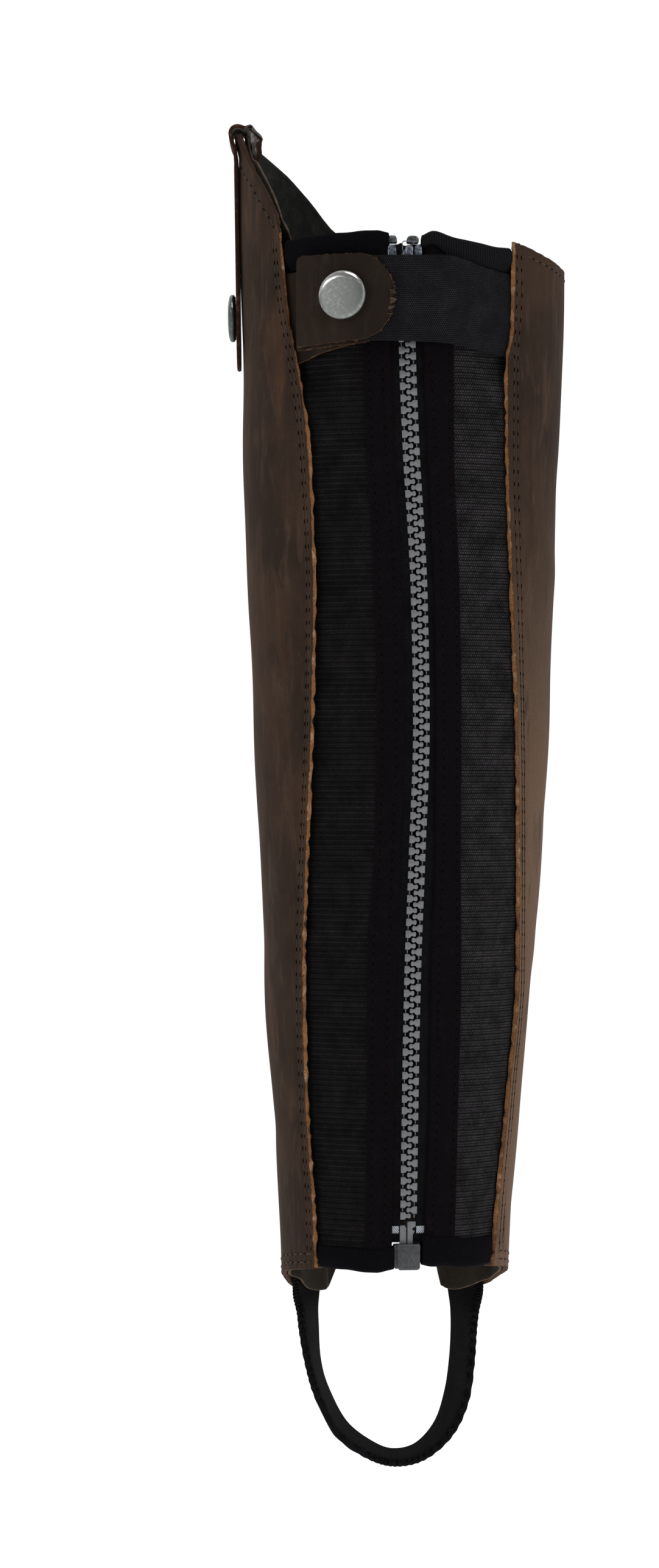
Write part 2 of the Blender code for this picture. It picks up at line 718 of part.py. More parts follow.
def make_cap(name, place, material):
    """A press stud's cap: a shallow turned dome with a rolled rim."""
    profile = (
        (0.0, CAP_HEIGHT),
        (0.45 * CAP_RADIUS, 0.97 * CAP_HEIGHT),
        (0.72 * CAP_RADIUS, 0.86 * CAP_HEIGHT),
        (0.90 * CAP_RADIUS, 0.62 * CAP_HEIGHT),
        (CAP_RADIUS, 0.34 * CAP_HEIGHT),
        (0.985 * CAP_RADIUS, 0.12 * CAP_HEIGHT),
        (0.93 * CAP_RADIUS, 0.0),
        (0.0, 0.0),
    )
    bm = bmesh.new()
    points = [bm.verts.new((r * MM, 0.0, z * MM)) for r, z in profile]
    for a, b in zip(points, points[1:]):
        bm.edges.new((a, b))
    mesh = bpy.data.meshes.new(name)
    bm.to_mesh(mesh)
    bm.free()
    obj = add_object(name, mesh, material)
    obj.matrix_world = place
    screw = obj.modifiers.new("Turned", "SCREW")
    screw.axis = "Z"
    screw.steps = 24
    screw.render_steps = 24
    screw.use_merge_vertices = True
    screw.merge_threshold = 0.00002
    return obj


def facing_out(angle, z, out):
    """Axes at a place on the leg with Z pointing straight out of the surface."""
    here = on_leg(angle, z, out)
    up = (on_leg(angle, z + 1, out) - on_leg(angle, z - 1, out)).normalized()
    along = (on_leg(angle + 1, z, out) - on_leg(angle - 1, z, out)).normalized()
    outward = along.cross(up).normalized()
    up = outward.cross(along)
    turn = Matrix((along, up, outward)).transposed().to_4x4()
    return Matrix.Translation(here) @ turn


# ---------------------------------------------------------------------------------------
# Peak strap and stirrup
# ---------------------------------------------------------------------------------------

PEAK_LEG_ROWS = 6
PEAK_LOOP_ROWS = 18
PEAK_END_ROWS = 4
PEAK_COLUMNS = 6


def peak_loop(name, step):
    return curve_through(PEAK_LOOP, PEAK_LOOP_COLUMNS, "step", name, step)


def beside_peak(across, z, out, hug):
    """A place across the peak, on a flat at its outermost line or, with hug 1, round the leg."""
    flat = on_leg(PEAK_ANGLE, z, out)
    _, _, half_x, half_y = leg_at(z)
    round_off = 1 - (1 - (across / (half_y + out)) ** 2) ** 0.5
    return flat + Vector(((half_x + out) * round_off * hug, across, 0)) * MM


def make_peak_strap(material):
    """Leather looped over the peak: a long outer leg with a round foot, a short inner one."""
    outer = GAP + PEAK_STRAP_THICK / 2
    loop_from = PEAK_END_ROWS + PEAK_LEG_ROWS
    rows = loop_from + PEAK_LOOP_ROWS
    round_top = PEAK_STRAP_FOOT + PEAK_FOOT_ROUND
    last = PEAK_LOOP[-1][0]

    def place(u, v):
        step = v * rows
        half, flare, hug = PEAK_STRAP_HALF, 0.0, 0.0
        if step < PEAK_END_ROWS:
            turn = radians(mix(PEAK_FOOT_TURN, 0, step / PEAK_END_ROWS))
            out, z = outer, round_top - PEAK_FOOT_ROUND * sin(turn)
            half = PEAK_STRAP_HALF * mix(cos(turn), 1, PEAK_FOOT_FLAT)
        elif step <= loop_from:
            out = outer
            z = mix(round_top, peak_loop("z", 0), (step - PEAK_END_ROWS) / PEAK_LEG_ROWS)
        else:
            along = (step - loop_from) / PEAK_LOOP_ROWS * last
            out, z, flare, hug = (peak_loop(name, along) for name in PEAK_LOOP_COLUMNS[1:])
        return beside_peak(mix(half, -half - flare, u), z, out, hug)
    return wall("peak_strap", PEAK_COLUMNS, rows, place, PEAK_STRAP_THICK, material, middle=True)


def stirrup_sections():
    """Pairs of near and far points along the stirrup, up to its sewn ends inside the hem."""
    out = LINING_FACE - STIRRUP_ELASTIC / 2

    def in_pocket(angles, z):
        return tuple(on_leg(angle, z, out) / MM for angle in angles)

    name = STIRRUP_COLUMNS.index
    free = [(Vector((row[name("x_near")], row[name("y_near")], row[name("z_near")])),
             Vector((row[name("x_far")], row[name("y_far")], row[name("z_far")]))) for row in STIRRUP]
    left = [in_pocket(STIRRUP_LEFT_ANGLES, z) for z in STIRRUP_POCKET]
    right = [in_pocket(STIRRUP_RIGHT_ANGLES, z) for z in reversed(STIRRUP_POCKET)]
    return left + free + right


def make_stirrup(material):
    sections = stirrup_sections()
    last = len(sections) - 1
    out = LINING_FACE - STIRRUP_ELASTIC / 2
    pocket = len(STIRRUP_POCKET)

    def through(side, t):
        k = min(int(t), last - 1)
        p = [sections[min(max(k + j, 0), last)][side] for j in (-1, 0, 1, 2)]
        f = t - k
        return 0.5 * ((2 * p[1]) + (p[2] - p[0]) * f + (2 * p[0] - 5 * p[1] + 4 * p[2] - p[3]) * f * f
                      + (3 * p[1] - p[0] - 3 * p[2] + p[3]) * f ** 3)

    def place(u, v):
        t = v * last
        near, far = through(0, t), through(1, t)
        flat = near.lerp(far, u)
        inside = max(ease(pocket + 0.5 - t), ease(t - last + pocket + 0.5))
        cx, cy, half_x, half_y = leg_at(flat.z)
        angle = degrees(atan2((flat.x - cx) / half_x, -(flat.y - cy) / half_y))
        hugging = on_leg(angle, flat.z, out) / MM
        return flat.lerp(hugging, inside) * MM
    return wall("stirrup_elastic", 4, 2 * last, place, STIRRUP_ELASTIC, material, middle=True)


# ---------------------------------------------------------------------------------------
# Zip ends: slider, pull tab, top stops, pins and box
# ---------------------------------------------------------------------------------------

def make_slider(material):
    """Two plates joined by a wedge at the top, with a bridge that carries the pull tab."""
    middle_z = (SLIDER_LOW + SLIDER_HIGH) / 2
    at = seat(SLIDER_X, middle_z, 0.0)
    inside = CHAIN_DEPTH / 2 + GAP
    front = -CHAIN_MIDDLE - inside - SLIDER_PLATE / 2
    rear = -CHAIN_MIDDLE + inside + SLIDER_PLATE / 2
    size = Vector((2 * SLIDER_HALF, SLIDER_PLATE, SLIDER_HIGH - SLIDER_LOW))
    rear_size = size - Vector((2 * SLIDER_REAR_INSET, 0, SLIDER_REAR_INSET))
    wedge_low = CHAIN_TOP + WEDGE_CLEAR
    wedge_high = SLIDER_HIGH - WEDGE_CLEAR
    wedge_size = (WEDGE_WIDTH, rear - front, wedge_high - wedge_low)
    wedge_centre = (0, (front + rear) / 2, (wedge_low + wedge_high) / 2 - middle_z)
    plate = block("zip_slider", size, (0, front, 0), at, material, bevel=0)
    added = [
        block("slider_rear_plate", rear_size, (0, rear, 0), at, material, bevel=0),
        block("slider_wedge", wedge_size, wedge_centre, at, material, bevel=0),
    ]
    for name, width, depth, height, out, z in BRIDGE:
        added.append(block(name, (width, depth, height), (0, front - out, z), at, material, bevel=0))
    return combine(plate, "UNION", added)


def make_pull_tab(material):
    """A flat tab with an eye round the slider's bridge, its origin on its hinge line."""
    y = -(PULL_FACE - PULL_THICK / 2)
    middle = (0, y, (PULL_TOP + PULL_FOOT) / 2 - PULL_AXIS_Z)
    local = Matrix.Identity(4)
    tab = block("zip_pull_tab", (2 * PULL_HALF, PULL_THICK, PULL_TOP - PULL_FOOT), middle, local, material)
    eye = block("pull_eye", PULL_EYE, (0, y, PULL_EYE_Z - PULL_AXIS_Z), local, material)
    tab.matrix_world = seat(SLIDER_X, PULL_AXIS_Z, 0.0)
    eye.matrix_world = tab.matrix_world
    return combine(tab, "DIFFERENCE", [eye])


def make_zip_ends(plastic, metal):
    make_slider(metal)
    make_pull_tab(metal)
    for name, is_metal, x, z, width, depth, height, rounding in ZIP_ENDS:
        at = seat(x, z, CHAIN_MIDDLE)
        block(name, (width, depth, height), (0, 0, 0), at, metal if is_metal else plastic, rounding)


# ---------------------------------------------------------------------------------------

clear_scene()
CHAP = bpy.data.collections.new("half_chap")
CUTTERS = bpy.data.collections.new("cutters")
bpy.context.scene.collection.children.link(CHAP)
bpy.context.scene.collection.children.link(CUTTERS)

oiled_leather = finish("oiled_leather", (0.080, 0.052, 0.038), 0.70)
strap_leather = finish("strap_leather", (0.090, 0.060, 0.044), 0.68)
lining_cloth = finish("lining_cloth", (0.020, 0.021, 0.020), 0.90)
ribbed_elastic = finish("ribbed_elastic", (0.016, 0.016, 0.018), 0.85)
panel_cloth = finish("panel_cloth", (0.014, 0.012, 0.014), 0.92)
zip_tape = finish("zip_tape", (0.014, 0.014, 0.016), 0.85)
binding_tape = finish("binding_tape", (0.012, 0.012, 0.014), 0.88)
strap_webbing = finish("strap_webbing", (0.024, 0.024, 0.027), 0.88)
zip_plastic = finish("zip_plastic", (0.060, 0.062, 0.066), 0.38)
nickel = finish("nickel", (0.72, 0.72, 0.70), 0.18, 1.0)

make_leather(oiled_leather)
make_lining(lining_cloth)
make_back(ribbed_elastic, panel_cloth, zip_tape)
make_chain(zip_plastic)
make_bindings(binding_tape)
make_base_tab(strap_leather)
make_tab("tab_inner", TAB_INNER_FACE, TAB_INNER_DROP, strap_leather)
make_calf_strap(strap_webbing)
make_tab("tab_outer", TAB_OUTER_FACE, 0.0, strap_leather)
cap_out = TAB_OUTER_FACE + GAP
make_cap("snap_cap", facing_out(angle_at(CAP_X, CAP_Z, cap_out), CAP_Z, cap_out), nickel)
make_peak_strap(strap_leather)
peak_cap_out = 2 * GAP + PEAK_STRAP_THICK
make_cap("peak_snap_cap", facing_out(PEAK_ANGLE, PEAK_CAP_Z, peak_cap_out), nickel)
make_stirrup(strap_webbing)
make_zip_ends(zip_plastic, nickel)
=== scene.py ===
"""Looks of a half chap for riding: oiled nubuck, ribbed elastics, a moulded zip and two studs.

Places are in millimetres round the leg until a mesh is made: an angle that is 0 at the middle
of the back and 90 at +X, a height, and a distance out from the leather's outer face.
"""

from math import pi, radians

import bmesh
import bpy
import numpy as np
from mathutils import Matrix, Vector


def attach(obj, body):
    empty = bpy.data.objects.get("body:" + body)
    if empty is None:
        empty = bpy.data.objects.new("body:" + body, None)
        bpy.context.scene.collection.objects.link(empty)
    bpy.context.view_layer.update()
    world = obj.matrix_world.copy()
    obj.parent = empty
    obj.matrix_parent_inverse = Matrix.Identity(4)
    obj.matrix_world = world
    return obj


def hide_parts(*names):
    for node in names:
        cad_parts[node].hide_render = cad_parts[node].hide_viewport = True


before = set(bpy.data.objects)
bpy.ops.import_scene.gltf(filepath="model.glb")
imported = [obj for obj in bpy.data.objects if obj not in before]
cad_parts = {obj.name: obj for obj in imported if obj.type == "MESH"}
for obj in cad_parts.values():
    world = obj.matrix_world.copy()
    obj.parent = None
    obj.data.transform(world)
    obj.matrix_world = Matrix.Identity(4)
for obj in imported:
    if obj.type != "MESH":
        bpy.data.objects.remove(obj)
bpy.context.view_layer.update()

# ------------------------------
# Camera: level, 1.6 m behind the zip, a little to the side of the leg's line.

camera_data = bpy.data.cameras.new("camera")
camera_data.sensor_width = 36.0
camera_data.lens = 98.385
camera = bpy.data.objects.new("camera", camera_data)
camera.location = (-0.026136, -1.6, -0.175)
camera.rotation_euler = (pi / 2, 0, 0)
bpy.context.scene.collection.objects.link(camera)
bpy.context.scene.camera = camera

# ------------------------------
# Main panel: one piece of oiled nubuck, 1.8 mm thick, cut raw and wrapped round the shin to
# both sides of the back. Its left cut edge curls a little towards the eye.

MM = 0.001


def table(names, *rows):
    """The columns of a small table, each under its name."""
    return dict(zip(names.split(), np.array(rows, dtype=float).T))


LEG = table(
    "z left right front back",
    (-370, -43.3, 39.5, 47.0, -42.5),
    (-328, -45.2, 42.1, 48.0, -44.0),
    (-300, -46.8, 44.6, 49.0, -46.0),
    (-246, -50.5, 49.2, 51.0, -51.0),
    (-191, -52.7, 53.8, 53.0, -55.0),
    (-137, -55.1, 56.2, 54.5, -59.0),
    (-82, -57.4, 57.9, 55.5, -62.0),
    (-28, -58.6, 60.3, 56.5, -61.5),
    (27, -59.4, 61.6, 57.0, -59.0),
    (66, -60.0, 62.2, 57.0, -58.0),
)
BACK = table(
    "z leather_left seam_left zip panel_right seam_right leather_right",
    (-354, -31.3, -14.2, 2.6, 8.4, 19.8, 34.2),
    (-331, -31.9, -13.7, 2.9, 9.3, 20.8, 36.2),
    (-290, -34.3, -13.1, 3.4, 10.8, 21.7, 40.3),
    (-245, -35.2, -13.1, 4.2, 11.1, 22.6, 43.8),
    (-200, -33.9, -10.5, 5.8, 12.6, 22.2, 43.6),
    (-155, -32.1, -9.5, 7.3, 12.8, 22.3, 42.7),
    (-107, -31.2, -10.4, 6.4, 12.0, 21.5, 40.6),
    (-54, -33.4, -13.2, 3.3, 9.3, 19.3, 38.7),
    (-23, -38.0, -14.5, 2.0, 8.0, 19.2, 38.4),
    (-10, -40.5, -14.8, 1.7, 7.8, 19.2, 40.9),
    (24, -44.2, -15.3, 1.0, 7.6, 19.2, 41.5),
)
TOP = table(
    "angle z",
    (42, 21.6), (57, 18.6), (82, 15.4), (110, 15.8), (150, 21.0), (180, 28.5), (204, 35.6),
    (218, 48.9), (230, 57.6), (246, 63.4), (258, 65.4), (272, 65.9), (281.5, 65.2), (284.5, 59.2),
    (291, 53.6), (303, 41.6), (309, 32.5), (314, 20.0),
)
HEM = table(
    "angle z",
    (53, -351.9), (75, -354.0), (103, -359.2), (124, -365.0), (140, -367.3), (147, -366.6),
    (154, -358.5), (180, -350.0), (213, -358.5), (220, -366.6), (230, -367.0), (245, -365.4),
    (262, -359.6), (286, -355.2), (319, -352.1),
)


def read(rows, key, name, at):
    """A column of a table at places in between, on a smooth curve that never overshoots."""
    xs, ys = rows[key], rows[name]
    at = np.clip(at, xs[0], xs[-1])
    spans = np.diff(xs)
    slopes = np.diff(ys) / spans
    both = slopes[:-1] * slopes[1:]
    total = np.where(both > 0, slopes[:-1] + slopes[1:], 1.0)
    inner = np.where(both > 0, 2 * both / total, 0.0)
    tangents = np.concatenate([slopes[:1], inner, slopes[-1:]])
    k = np.clip(np.searchsorted(xs, at, side="right") - 1, 0, len(spans) - 1)
    t = (at - xs[k]) / spans[k]
    rise = (3 - 2 * t) * t * t
    start = t * (1 - t) ** 2 * spans[k] * tangents[k]
    end = t * t * (t - 1) * spans[k] * tangents[k + 1]
    return ys[k] + (ys[k + 1] - ys[k]) * rise + start + end


def leg_at(z):
    """Centre and half sizes of the leg's section at heights."""
    left, right, front, back = (read(LEG, "z", side, z) for side in ("left", "right", "front", "back"))
    return (left + right) / 2, (front + back) / 2, (right - left) / 2, (front - back) / 2


def on_leg(angle, z, out=0.0):
    """Points at angles and heights, a distance out from the leather's outer face."""
    cx, cy, half_x, half_y = leg_at(z)
    turn = np.radians(angle)
    x = cx + (half_x + out) * np.sin(turn)
    y = cy - (half_y + out) * np.cos(turn)
    return np.stack(np.broadcast_arrays(x, y, z), axis=-1)


def angle_at(x, z, out=0.0):
    """The angle on the back that has this X, on the leather's face or further out."""
    cx, _, half_x, _ = leg_at(z)
    return np.degrees(np.arcsin(np.clip((x - cx) / (half_x + out), -1, 1)))


def ease(t):
    t = np.clip(t, 0, 1)
    return t * t * (3 - 2 * t)


def mix(a, b, t):
    return a + (b - a) * t


def leather_edges(z):
    """Angles of the leather's right and left cut edges, the left one past the front."""
    right = angle_at(read(BACK, "z", "leather_right", z), z)
    return right, angle_at(read(BACK, "z", "leather_left", z), z) + 360


def wrap(us, vs, rise=None, inset=0.0):
    """Angles and heights of the wrap's grid, from its right back edge round to its left one."""
    u, v = np.meshgrid(us, vs)
    right_high, left_high = leather_edges(22.0)
    right_low, left_low = leather_edges(-352.0)
    high = mix(right_high, left_high, u)
    top = read(TOP, "angle", "z", high)
    if rise:
        top = top + rise(high)
    z = mix(read(HEM, "angle", "z", mix(right_low, left_low, u)), top, v)
    right, left = leather_edges(z)
    return mix(right + inset, left - inset, u), z


def add_object(name, mesh, materials):
    """A new piece, with its mesh's materials in order."""
    for material in materials:
        mesh.materials.append(material)
    piece = bpy.data.objects.new(name, mesh)
    bpy.context.scene.collection.objects.link(piece)
    return piece


def outward(grid):
    """Unit normals of a grid of points."""
    normal = np.cross(np.gradient(grid, axis=1), np.gradient(grid, axis=0))
    return normal / np.linalg.norm(normal, axis=-1, keepdims=True)


def run_along(points):
    """Distance along a line of points, from its first."""
    return np.concatenate([[0], np.cumsum(np.linalg.norm(np.diff(points, axis=0), axis=1))])


def shell(name, outer, flat, thickness, materials, swell=0.12, rim=(0.12, 0.5, 0.88), crisp=50):
    """A closed sheet from a grid of outer points and their flat places, in millimetres.

    Its rim swells by a share of the thickness. The materials are its face, back and rim, and
    where there is a fourth, that is for the rim along the grid's first and last rows.
    """
    rows, cols = outer.shape[:2]
    normal = outward(outer)
    depth = np.broadcast_to(np.asarray(thickness, float), (rows, cols))[..., None]
    inner = outer - normal * depth
    order = np.arange(rows * cols).reshape(rows, cols)
    loop = np.concatenate([order[0, :-1], order[:-1, -1], order[-1, :0:-1], order[:0:-1, 0]])
    edge, out, deep = (a.reshape(-1, a.shape[-1])[loop] for a in (outer, normal, depth))
    away = np.cross(np.roll(edge, -1, 0) - np.roll(edge, 1, 0), out)
    away /= np.linalg.norm(away, axis=-1, keepdims=True)
    rings = [edge - out * deep * t + away * deep * swell * np.sin(pi * t) for t in rim]
    count, around = rows * cols, len(loop)
    points = np.concatenate([outer.reshape(-1, 3), inner.reshape(-1, 3), *rings])
    quads = np.stack([order[:-1, :-1], order[:-1, 1:], order[1:, 1:], order[1:, :-1]], -1).reshape(-1, 4)
    levels = [loop] + [2 * count + k * around + np.arange(around) for k in range(len(rim))] + [loop + count]
    rim_quads = np.concatenate([
        np.stack([a, b, np.roll(b, -1), np.roll(a, -1)], -1) for a, b in zip(levels, levels[1:])])
    faces = np.concatenate([quads, quads[:, ::-1] + count, rim_quads])
    mesh = bpy.data.meshes.new(name)
    mesh.from_pydata((points * MM).tolist(), [], faces.tolist())
    place = flat.reshape(-1, 2)
    lengths = np.linalg.norm(np.roll(edge, -1, 0) - edge, axis=1)
    run = np.concatenate([[0], np.cumsum(lengths)])
    depths = [0, *rim, 1]
    rim_places = []
    for above, below in zip(depths, depths[1:]):
        start, end = run[:-1], run[1:]
        high, low = deep[:, 0] * above, deep[:, 0] * below
        next_high, next_low = np.roll(high, -1), np.roll(low, -1)
        corners = ((start, high), (start, low), (end, next_low), (end, next_high))
        rim_places.append(np.stack([np.stack(corner, -1) for corner in corners], 1))
    uv = np.concatenate([place[quads], place[quads[:, ::-1]], *rim_places])
    mesh.uv_layers.new(name="UVMap").data.foreach_set("uv", uv.astype(np.float32).ravel())
    ends = len(materials) - 1
    round_rim = np.repeat([ends, 2, ends, 2], [cols - 1, rows - 1, cols - 1, rows - 1])
    kinds = np.concatenate([np.repeat([0, 1], len(quads)), np.tile(round_rim, len(levels) - 1)])
    mesh.polygons.foreach_set("material_index", kinds.astype(np.int32))
    mesh.shade_smooth()
    mesh.set_sharp_from_angle(angle=radians(crisp))
    return add_object(name, mesh, materials)


def dress(piece, nodes):
    """Fix a piece to the chap, in place of its solids."""
    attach(piece, "chap")
    if nodes:
        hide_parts(*nodes)
    return piece


def colour(code):
    """An sRGB hex colour as linear RGBA."""
    parts = [int(code[k:k + 2], 16) / 255 for k in (1, 3, 5)]
    return (*[p / 12.92 if p <= 0.04045 else ((p + 0.055) / 1.055) ** 2.4 for p in parts], 1.0)


def constant(value):
    """What a socket is set to: a hex colour as linear RGBA, and all else as it is."""
    return colour(value) if isinstance(value, str) and value.startswith("#") else value


def add(tree, kind, sockets=(), out=0, stops=(), smooth=True, **settings):
    """Add a node and give one of its outputs, or the node itself where it has none.

    Its sockets are filled with values, hex colours or other nodes' outputs. Stops are the places
    on a colour ramp, each with its grey or its hex colour.
    """
    made = tree.nodes.new(kind)
    for key, value in settings.items():
        setattr(made, key, value)
    for key, value in dict(sockets).items():
        if isinstance(value, bpy.types.NodeSocket):
            tree.links.new(value, made.inputs[key])
        else:
            made.inputs[key].default_value = constant(value)
    if stops:
        made.color_ramp.interpolation = "EASE" if smooth else "LINEAR"
        elements = made.color_ramp.elements
        while len(elements) < len(stops):
            elements.new(0.5)
        for element, (at, shade) in zip(elements, stops):
            element.position = at
            element.color = colour(shade) if isinstance(shade, str) else (shade, shade, shade, 1.0)
    return made.outputs[out] if made.outputs else made


def new_finish(name, sockets):
    """A material with a Principled shader whose sockets hold constants."""
    made = bpy.data.materials.new(name)
    made.use_nodes = True
    shader = made.node_tree.nodes["Principled BSDF"]
    for key, value in sockets.items():
        shader.inputs[key].default_value = constant(value)
    return made, made.node_tree


def painted(tree, base, *coats):
    """A colour with others laid over it, each where the ramp on its pattern lets it show."""
    for pattern, stops, shade in coats:
        share = add(tree, "ShaderNodeValToRGB", {0: pattern}, stops=stops)
        base = add(tree, "ShaderNodeMix", {0: share, 6: base, 7: shade}, 2, data_type="RGBA")
    return base


def finished(made, base, *layers):
    """A finish with its colour and its relief.

    The relief's layers are (height, depth in millimetres, strength), each over the last.
    """
    tree = made.node_tree
    shader = tree.nodes["Principled BSDF"]
    tree.links.new(base, shader.inputs["Base Color"])
    normal = None
    for height, depth, strength in layers:
        sockets = {"Height": height, "Distance": depth * MM, "Strength": strength}
        if normal:
            sockets["Normal"] = normal
        normal = add(tree, "ShaderNodeBump", sockets)
    if normal:
        tree.links.new(normal, shader.inputs["Normal"])
    return made


def nubuck(name, dark, middle, light, warm, painted_light_colour=None):
    """Waxed nubuck: a dull velvet nap, cloudy where the wax has been pulled, no pores.

    The nap lies up the leg, so the smudges are 2 to 8 mm wide and drawn out along it. On the
    right side from the calf down the colour is painted paler and pinker: painted light from the right.
    """
    made, tree = new_finish(name, {
        "Roughness": 0.88, "Specular IOR Level": 0.08, "Sheen Weight": 0.08,
        "Sheen Roughness": 0.35, "Sheen Tint": "#C3A494"})
    here = add(tree, "ShaderNodeTexCoord", out="Object")
    up_the_leg = add(tree, "ShaderNodeMapping", {"Vector": here, "Scale": (1, 1, 0.22)})
    clouds, smudges, stains, streaks, nap = (
        add(tree, "ShaderNodeTexNoise", {
            "Vector": place, "Scale": 1 / (size * MM), "Detail": detail, "Roughness": rough,
            "Distortion": bent})
        for place, size, detail, rough, bent in (
            (here, 34, 4, 0.6, 0.0), (up_the_leg, 5, 5, 0.66, 0.8), (up_the_leg, 8, 4, 0.6, 0.4),
            (up_the_leg, 16, 3, 0.5, 0.0), (here, 0.55, 3, 0.6, 0.0)))
    base = painted(
        tree, dark, (clouds, ((0.36, 0.0), (0.66, 1.0)), middle),
        (smudges, ((0.47, 0.0), (0.78, 0.65)), light), (streaks, ((0.56, 0.0), (0.75, 0.35)), warm))
    # Painted light: the right side from the calf down is mixed towards a paler, pinker colour.
    if painted_light_colour:
        side, down = (
            add(tree, "ShaderNodeMapRange", {
                "Value": add(tree, "ShaderNodeSeparateXYZ", {0: here}, axis),
                "From Min": start * MM, "From Max": end * MM}, interpolation_type="SMOOTHSTEP")
            for axis, start, end in (("X", 10, 40), ("Z", -40, -215)))
        painted_light_share = add(tree, "ShaderNodeMath", {0: side, 1: down}, operation="MULTIPLY")
        paler = add(tree, "ShaderNodeMix", {0: 0.85, 6: base, 7: painted_light_colour}, 2, data_type="RGBA")
        base = add(tree, "ShaderNodeMix", {0: painted_light_share, 6: base, 7: paler}, 2, data_type="RGBA")
    base = painted(
        tree, base, (stains, ((0.28, 0.55), (0.46, 0.0)), "#261C18"),
        (nap, ((0.3, 0.32), (0.72, 0.0)), "#1C1512"))
    return finished(made, base, (smudges, 0.25, 0.25), (nap, 0.12, 0.55))


def raw_edge(name, near_face, middle, flesh, fleck="#C9A584", flecked=0.45):
    """The cut side of bark-dyed leather: packed fibres, orange under the face, paler inside."""
    made, tree = new_finish(name, {
        "Roughness": 0.92, "Specular IOR Level": 0.1, "Sheen Weight": 0.08, "Sheen Tint": "#C59A72"})
    here = add(tree, "ShaderNodeTexCoord", out="Object")
    fibres, patches = (
        add(tree, "ShaderNodeTexNoise", {
            "Vector": here, "Scale": 1 / (size * MM), "Detail": detail, "Roughness": rough})
        for size, detail, rough in ((0.45, 4, 0.7), (3.5, 3, 0.6)))
    depth = add(tree, "ShaderNodeSeparateXYZ", {0: add(tree, "ShaderNodeUVMap")}, "Y")
    across = add(tree, "ShaderNodeMath", {0: fibres, 1: 0.5, 2: depth}, operation="MULTIPLY_ADD")
    across = add(tree, "ShaderNodeMapRange", {"Value": across, "From Min": 0.1, "From Max": 2.1})
    base = add(tree, "ShaderNodeValToRGB", {0: across},
               stops=((0.0, near_face), (0.34, middle), (0.85, flesh)))
    base = painted(
        tree, base, (fibres, ((0.34, 0.8), (0.52, 0.0)), "#23130A"),
        (patches, ((0.5, 0.0), (0.72, flecked)), fleck))
    return finished(made, base, (fibres, 0.3, 0.9))


# The panel's last colour is painted light on its right side.
nubuck_brown = nubuck("waxed nubuck", "#2A2019", "#392B21", "#4E3E32", "#553B28", "#6E5847")
flesh_side = nubuck("flesh side of nubuck", "#4A3A2E", "#5C4A3C", "#7A6756", "#6E5340")
cut_leather = raw_edge("raw cut leather", "#402510", "#8A5C38", "#8A6240")
dark_cut_leather = raw_edge("dark cut leather", "#1F1611", "#35261C", "#40302A", "#5A4638", 0.2)

LEATHER = 1.8
SEAM_ROWS = table(  # X of the two stitch rows beside each cut edge
    "z left_far left_near right_near right_far",
    (-353, -34.2, -32.6, 36.1, 37.6),
    (-331, -34.8, -33.3, 37.7, 38.9),
    (-290, -37.1, -35.7, 41.3, 42.3),
    (-245, -38.4, -36.6, 44.8, 45.8),
    (-200, -37.0, -35.4, 44.6, 45.6),
    (-155, -35.2, -33.9, 44.1, 45.0),
    (-107, -34.5, -33.0, 42.5, 43.9),
    (-54, -36.9, -35.4, 40.8, 42.4),
    (-23, -40.9, -39.2, 41.0, 42.3),
    (4, -45.4, -44.1, 42.0, 43.9),
    (21, -46.8, -45.7, 42.2, 43.6),
)
CURL = table(  # how far the left cut edge lifts, at each height
    "z lift",
    (-354, 0.5), (-320, 1.0), (-245, 1.3), (-155, 1.6), (-90, 1.7), (-50, 1.2), (-28, 0.4), (24, 0.4),
)
CURL_WIDTH = 4.0
CREASES = table(  # soft troughs and ridges: depth is out of the surface, lean from level
    "angle z length width depth lean",
    (318, -92, 26, 9, -0.55, 12),
    (300, -70, 34, 12, -0.45, -8),
    (296, -128, 30, 14, 0.40, 20),
    (311, -196, 22, 10, -0.40, -15),
    (290, -232, 40, 16, -0.45, 8),
    (322, -268, 18, 8, -0.35, 25),
    (298, -310, 28, 12, 0.35, -20),
    (300, 8, 20, 10, -0.35, 60),
    (61, -48, 24, 10, -0.40, 15),
    (74, -96, 36, 14, 0.40, -12),
    (57, -142, 20, 9, -0.45, -25),
    (70, -188, 32, 12, -0.40, 10),
    (82, -236, 28, 14, 0.35, -18),
    (62, -290, 22, 9, -0.40, 12),
    (76, -330, 26, 12, -0.35, -10),
    (110, -60, 44, 16, -0.55, 10),
    (135, -120, 38, 13, -0.50, -14),
    (160, -305, 46, 12, -0.90, 4),
    (200, -318, 42, 11, -0.85, -6),
    (182, -292, 36, 14, 0.55, 3),
    (225, -90, 40, 15, -0.50, 16),
    (245, -180, 34, 13, 0.45, -10),
    (215, -235, 40, 12, -0.50, 12),
    (262, -300, 30, 12, -0.40, -16),
)
LEG_RADIUS = 56.0
GROOVE_DEPTH, GROOVE_HALF = 0.28, 0.7  # a stitch row pulled into the leather
PLAIN_RIM, PLAIN_FADE = 4.0, 12.0  # beside the cut edges, where no crease reaches
TIP_LEAN = 1.5  # how far the peak's tip leans out under its strap
TIP_START, TIP_RISE = 58.0, 7.0
TIP_SIDES, TIP_FADE = (255.0, 296.0), 8.0


def laid_flat(angle, z):
    """Places on the leg unrolled: round it and up it, in millimetres."""
    return np.stack([np.radians(angle) * LEG_RADIUS, z], -1)


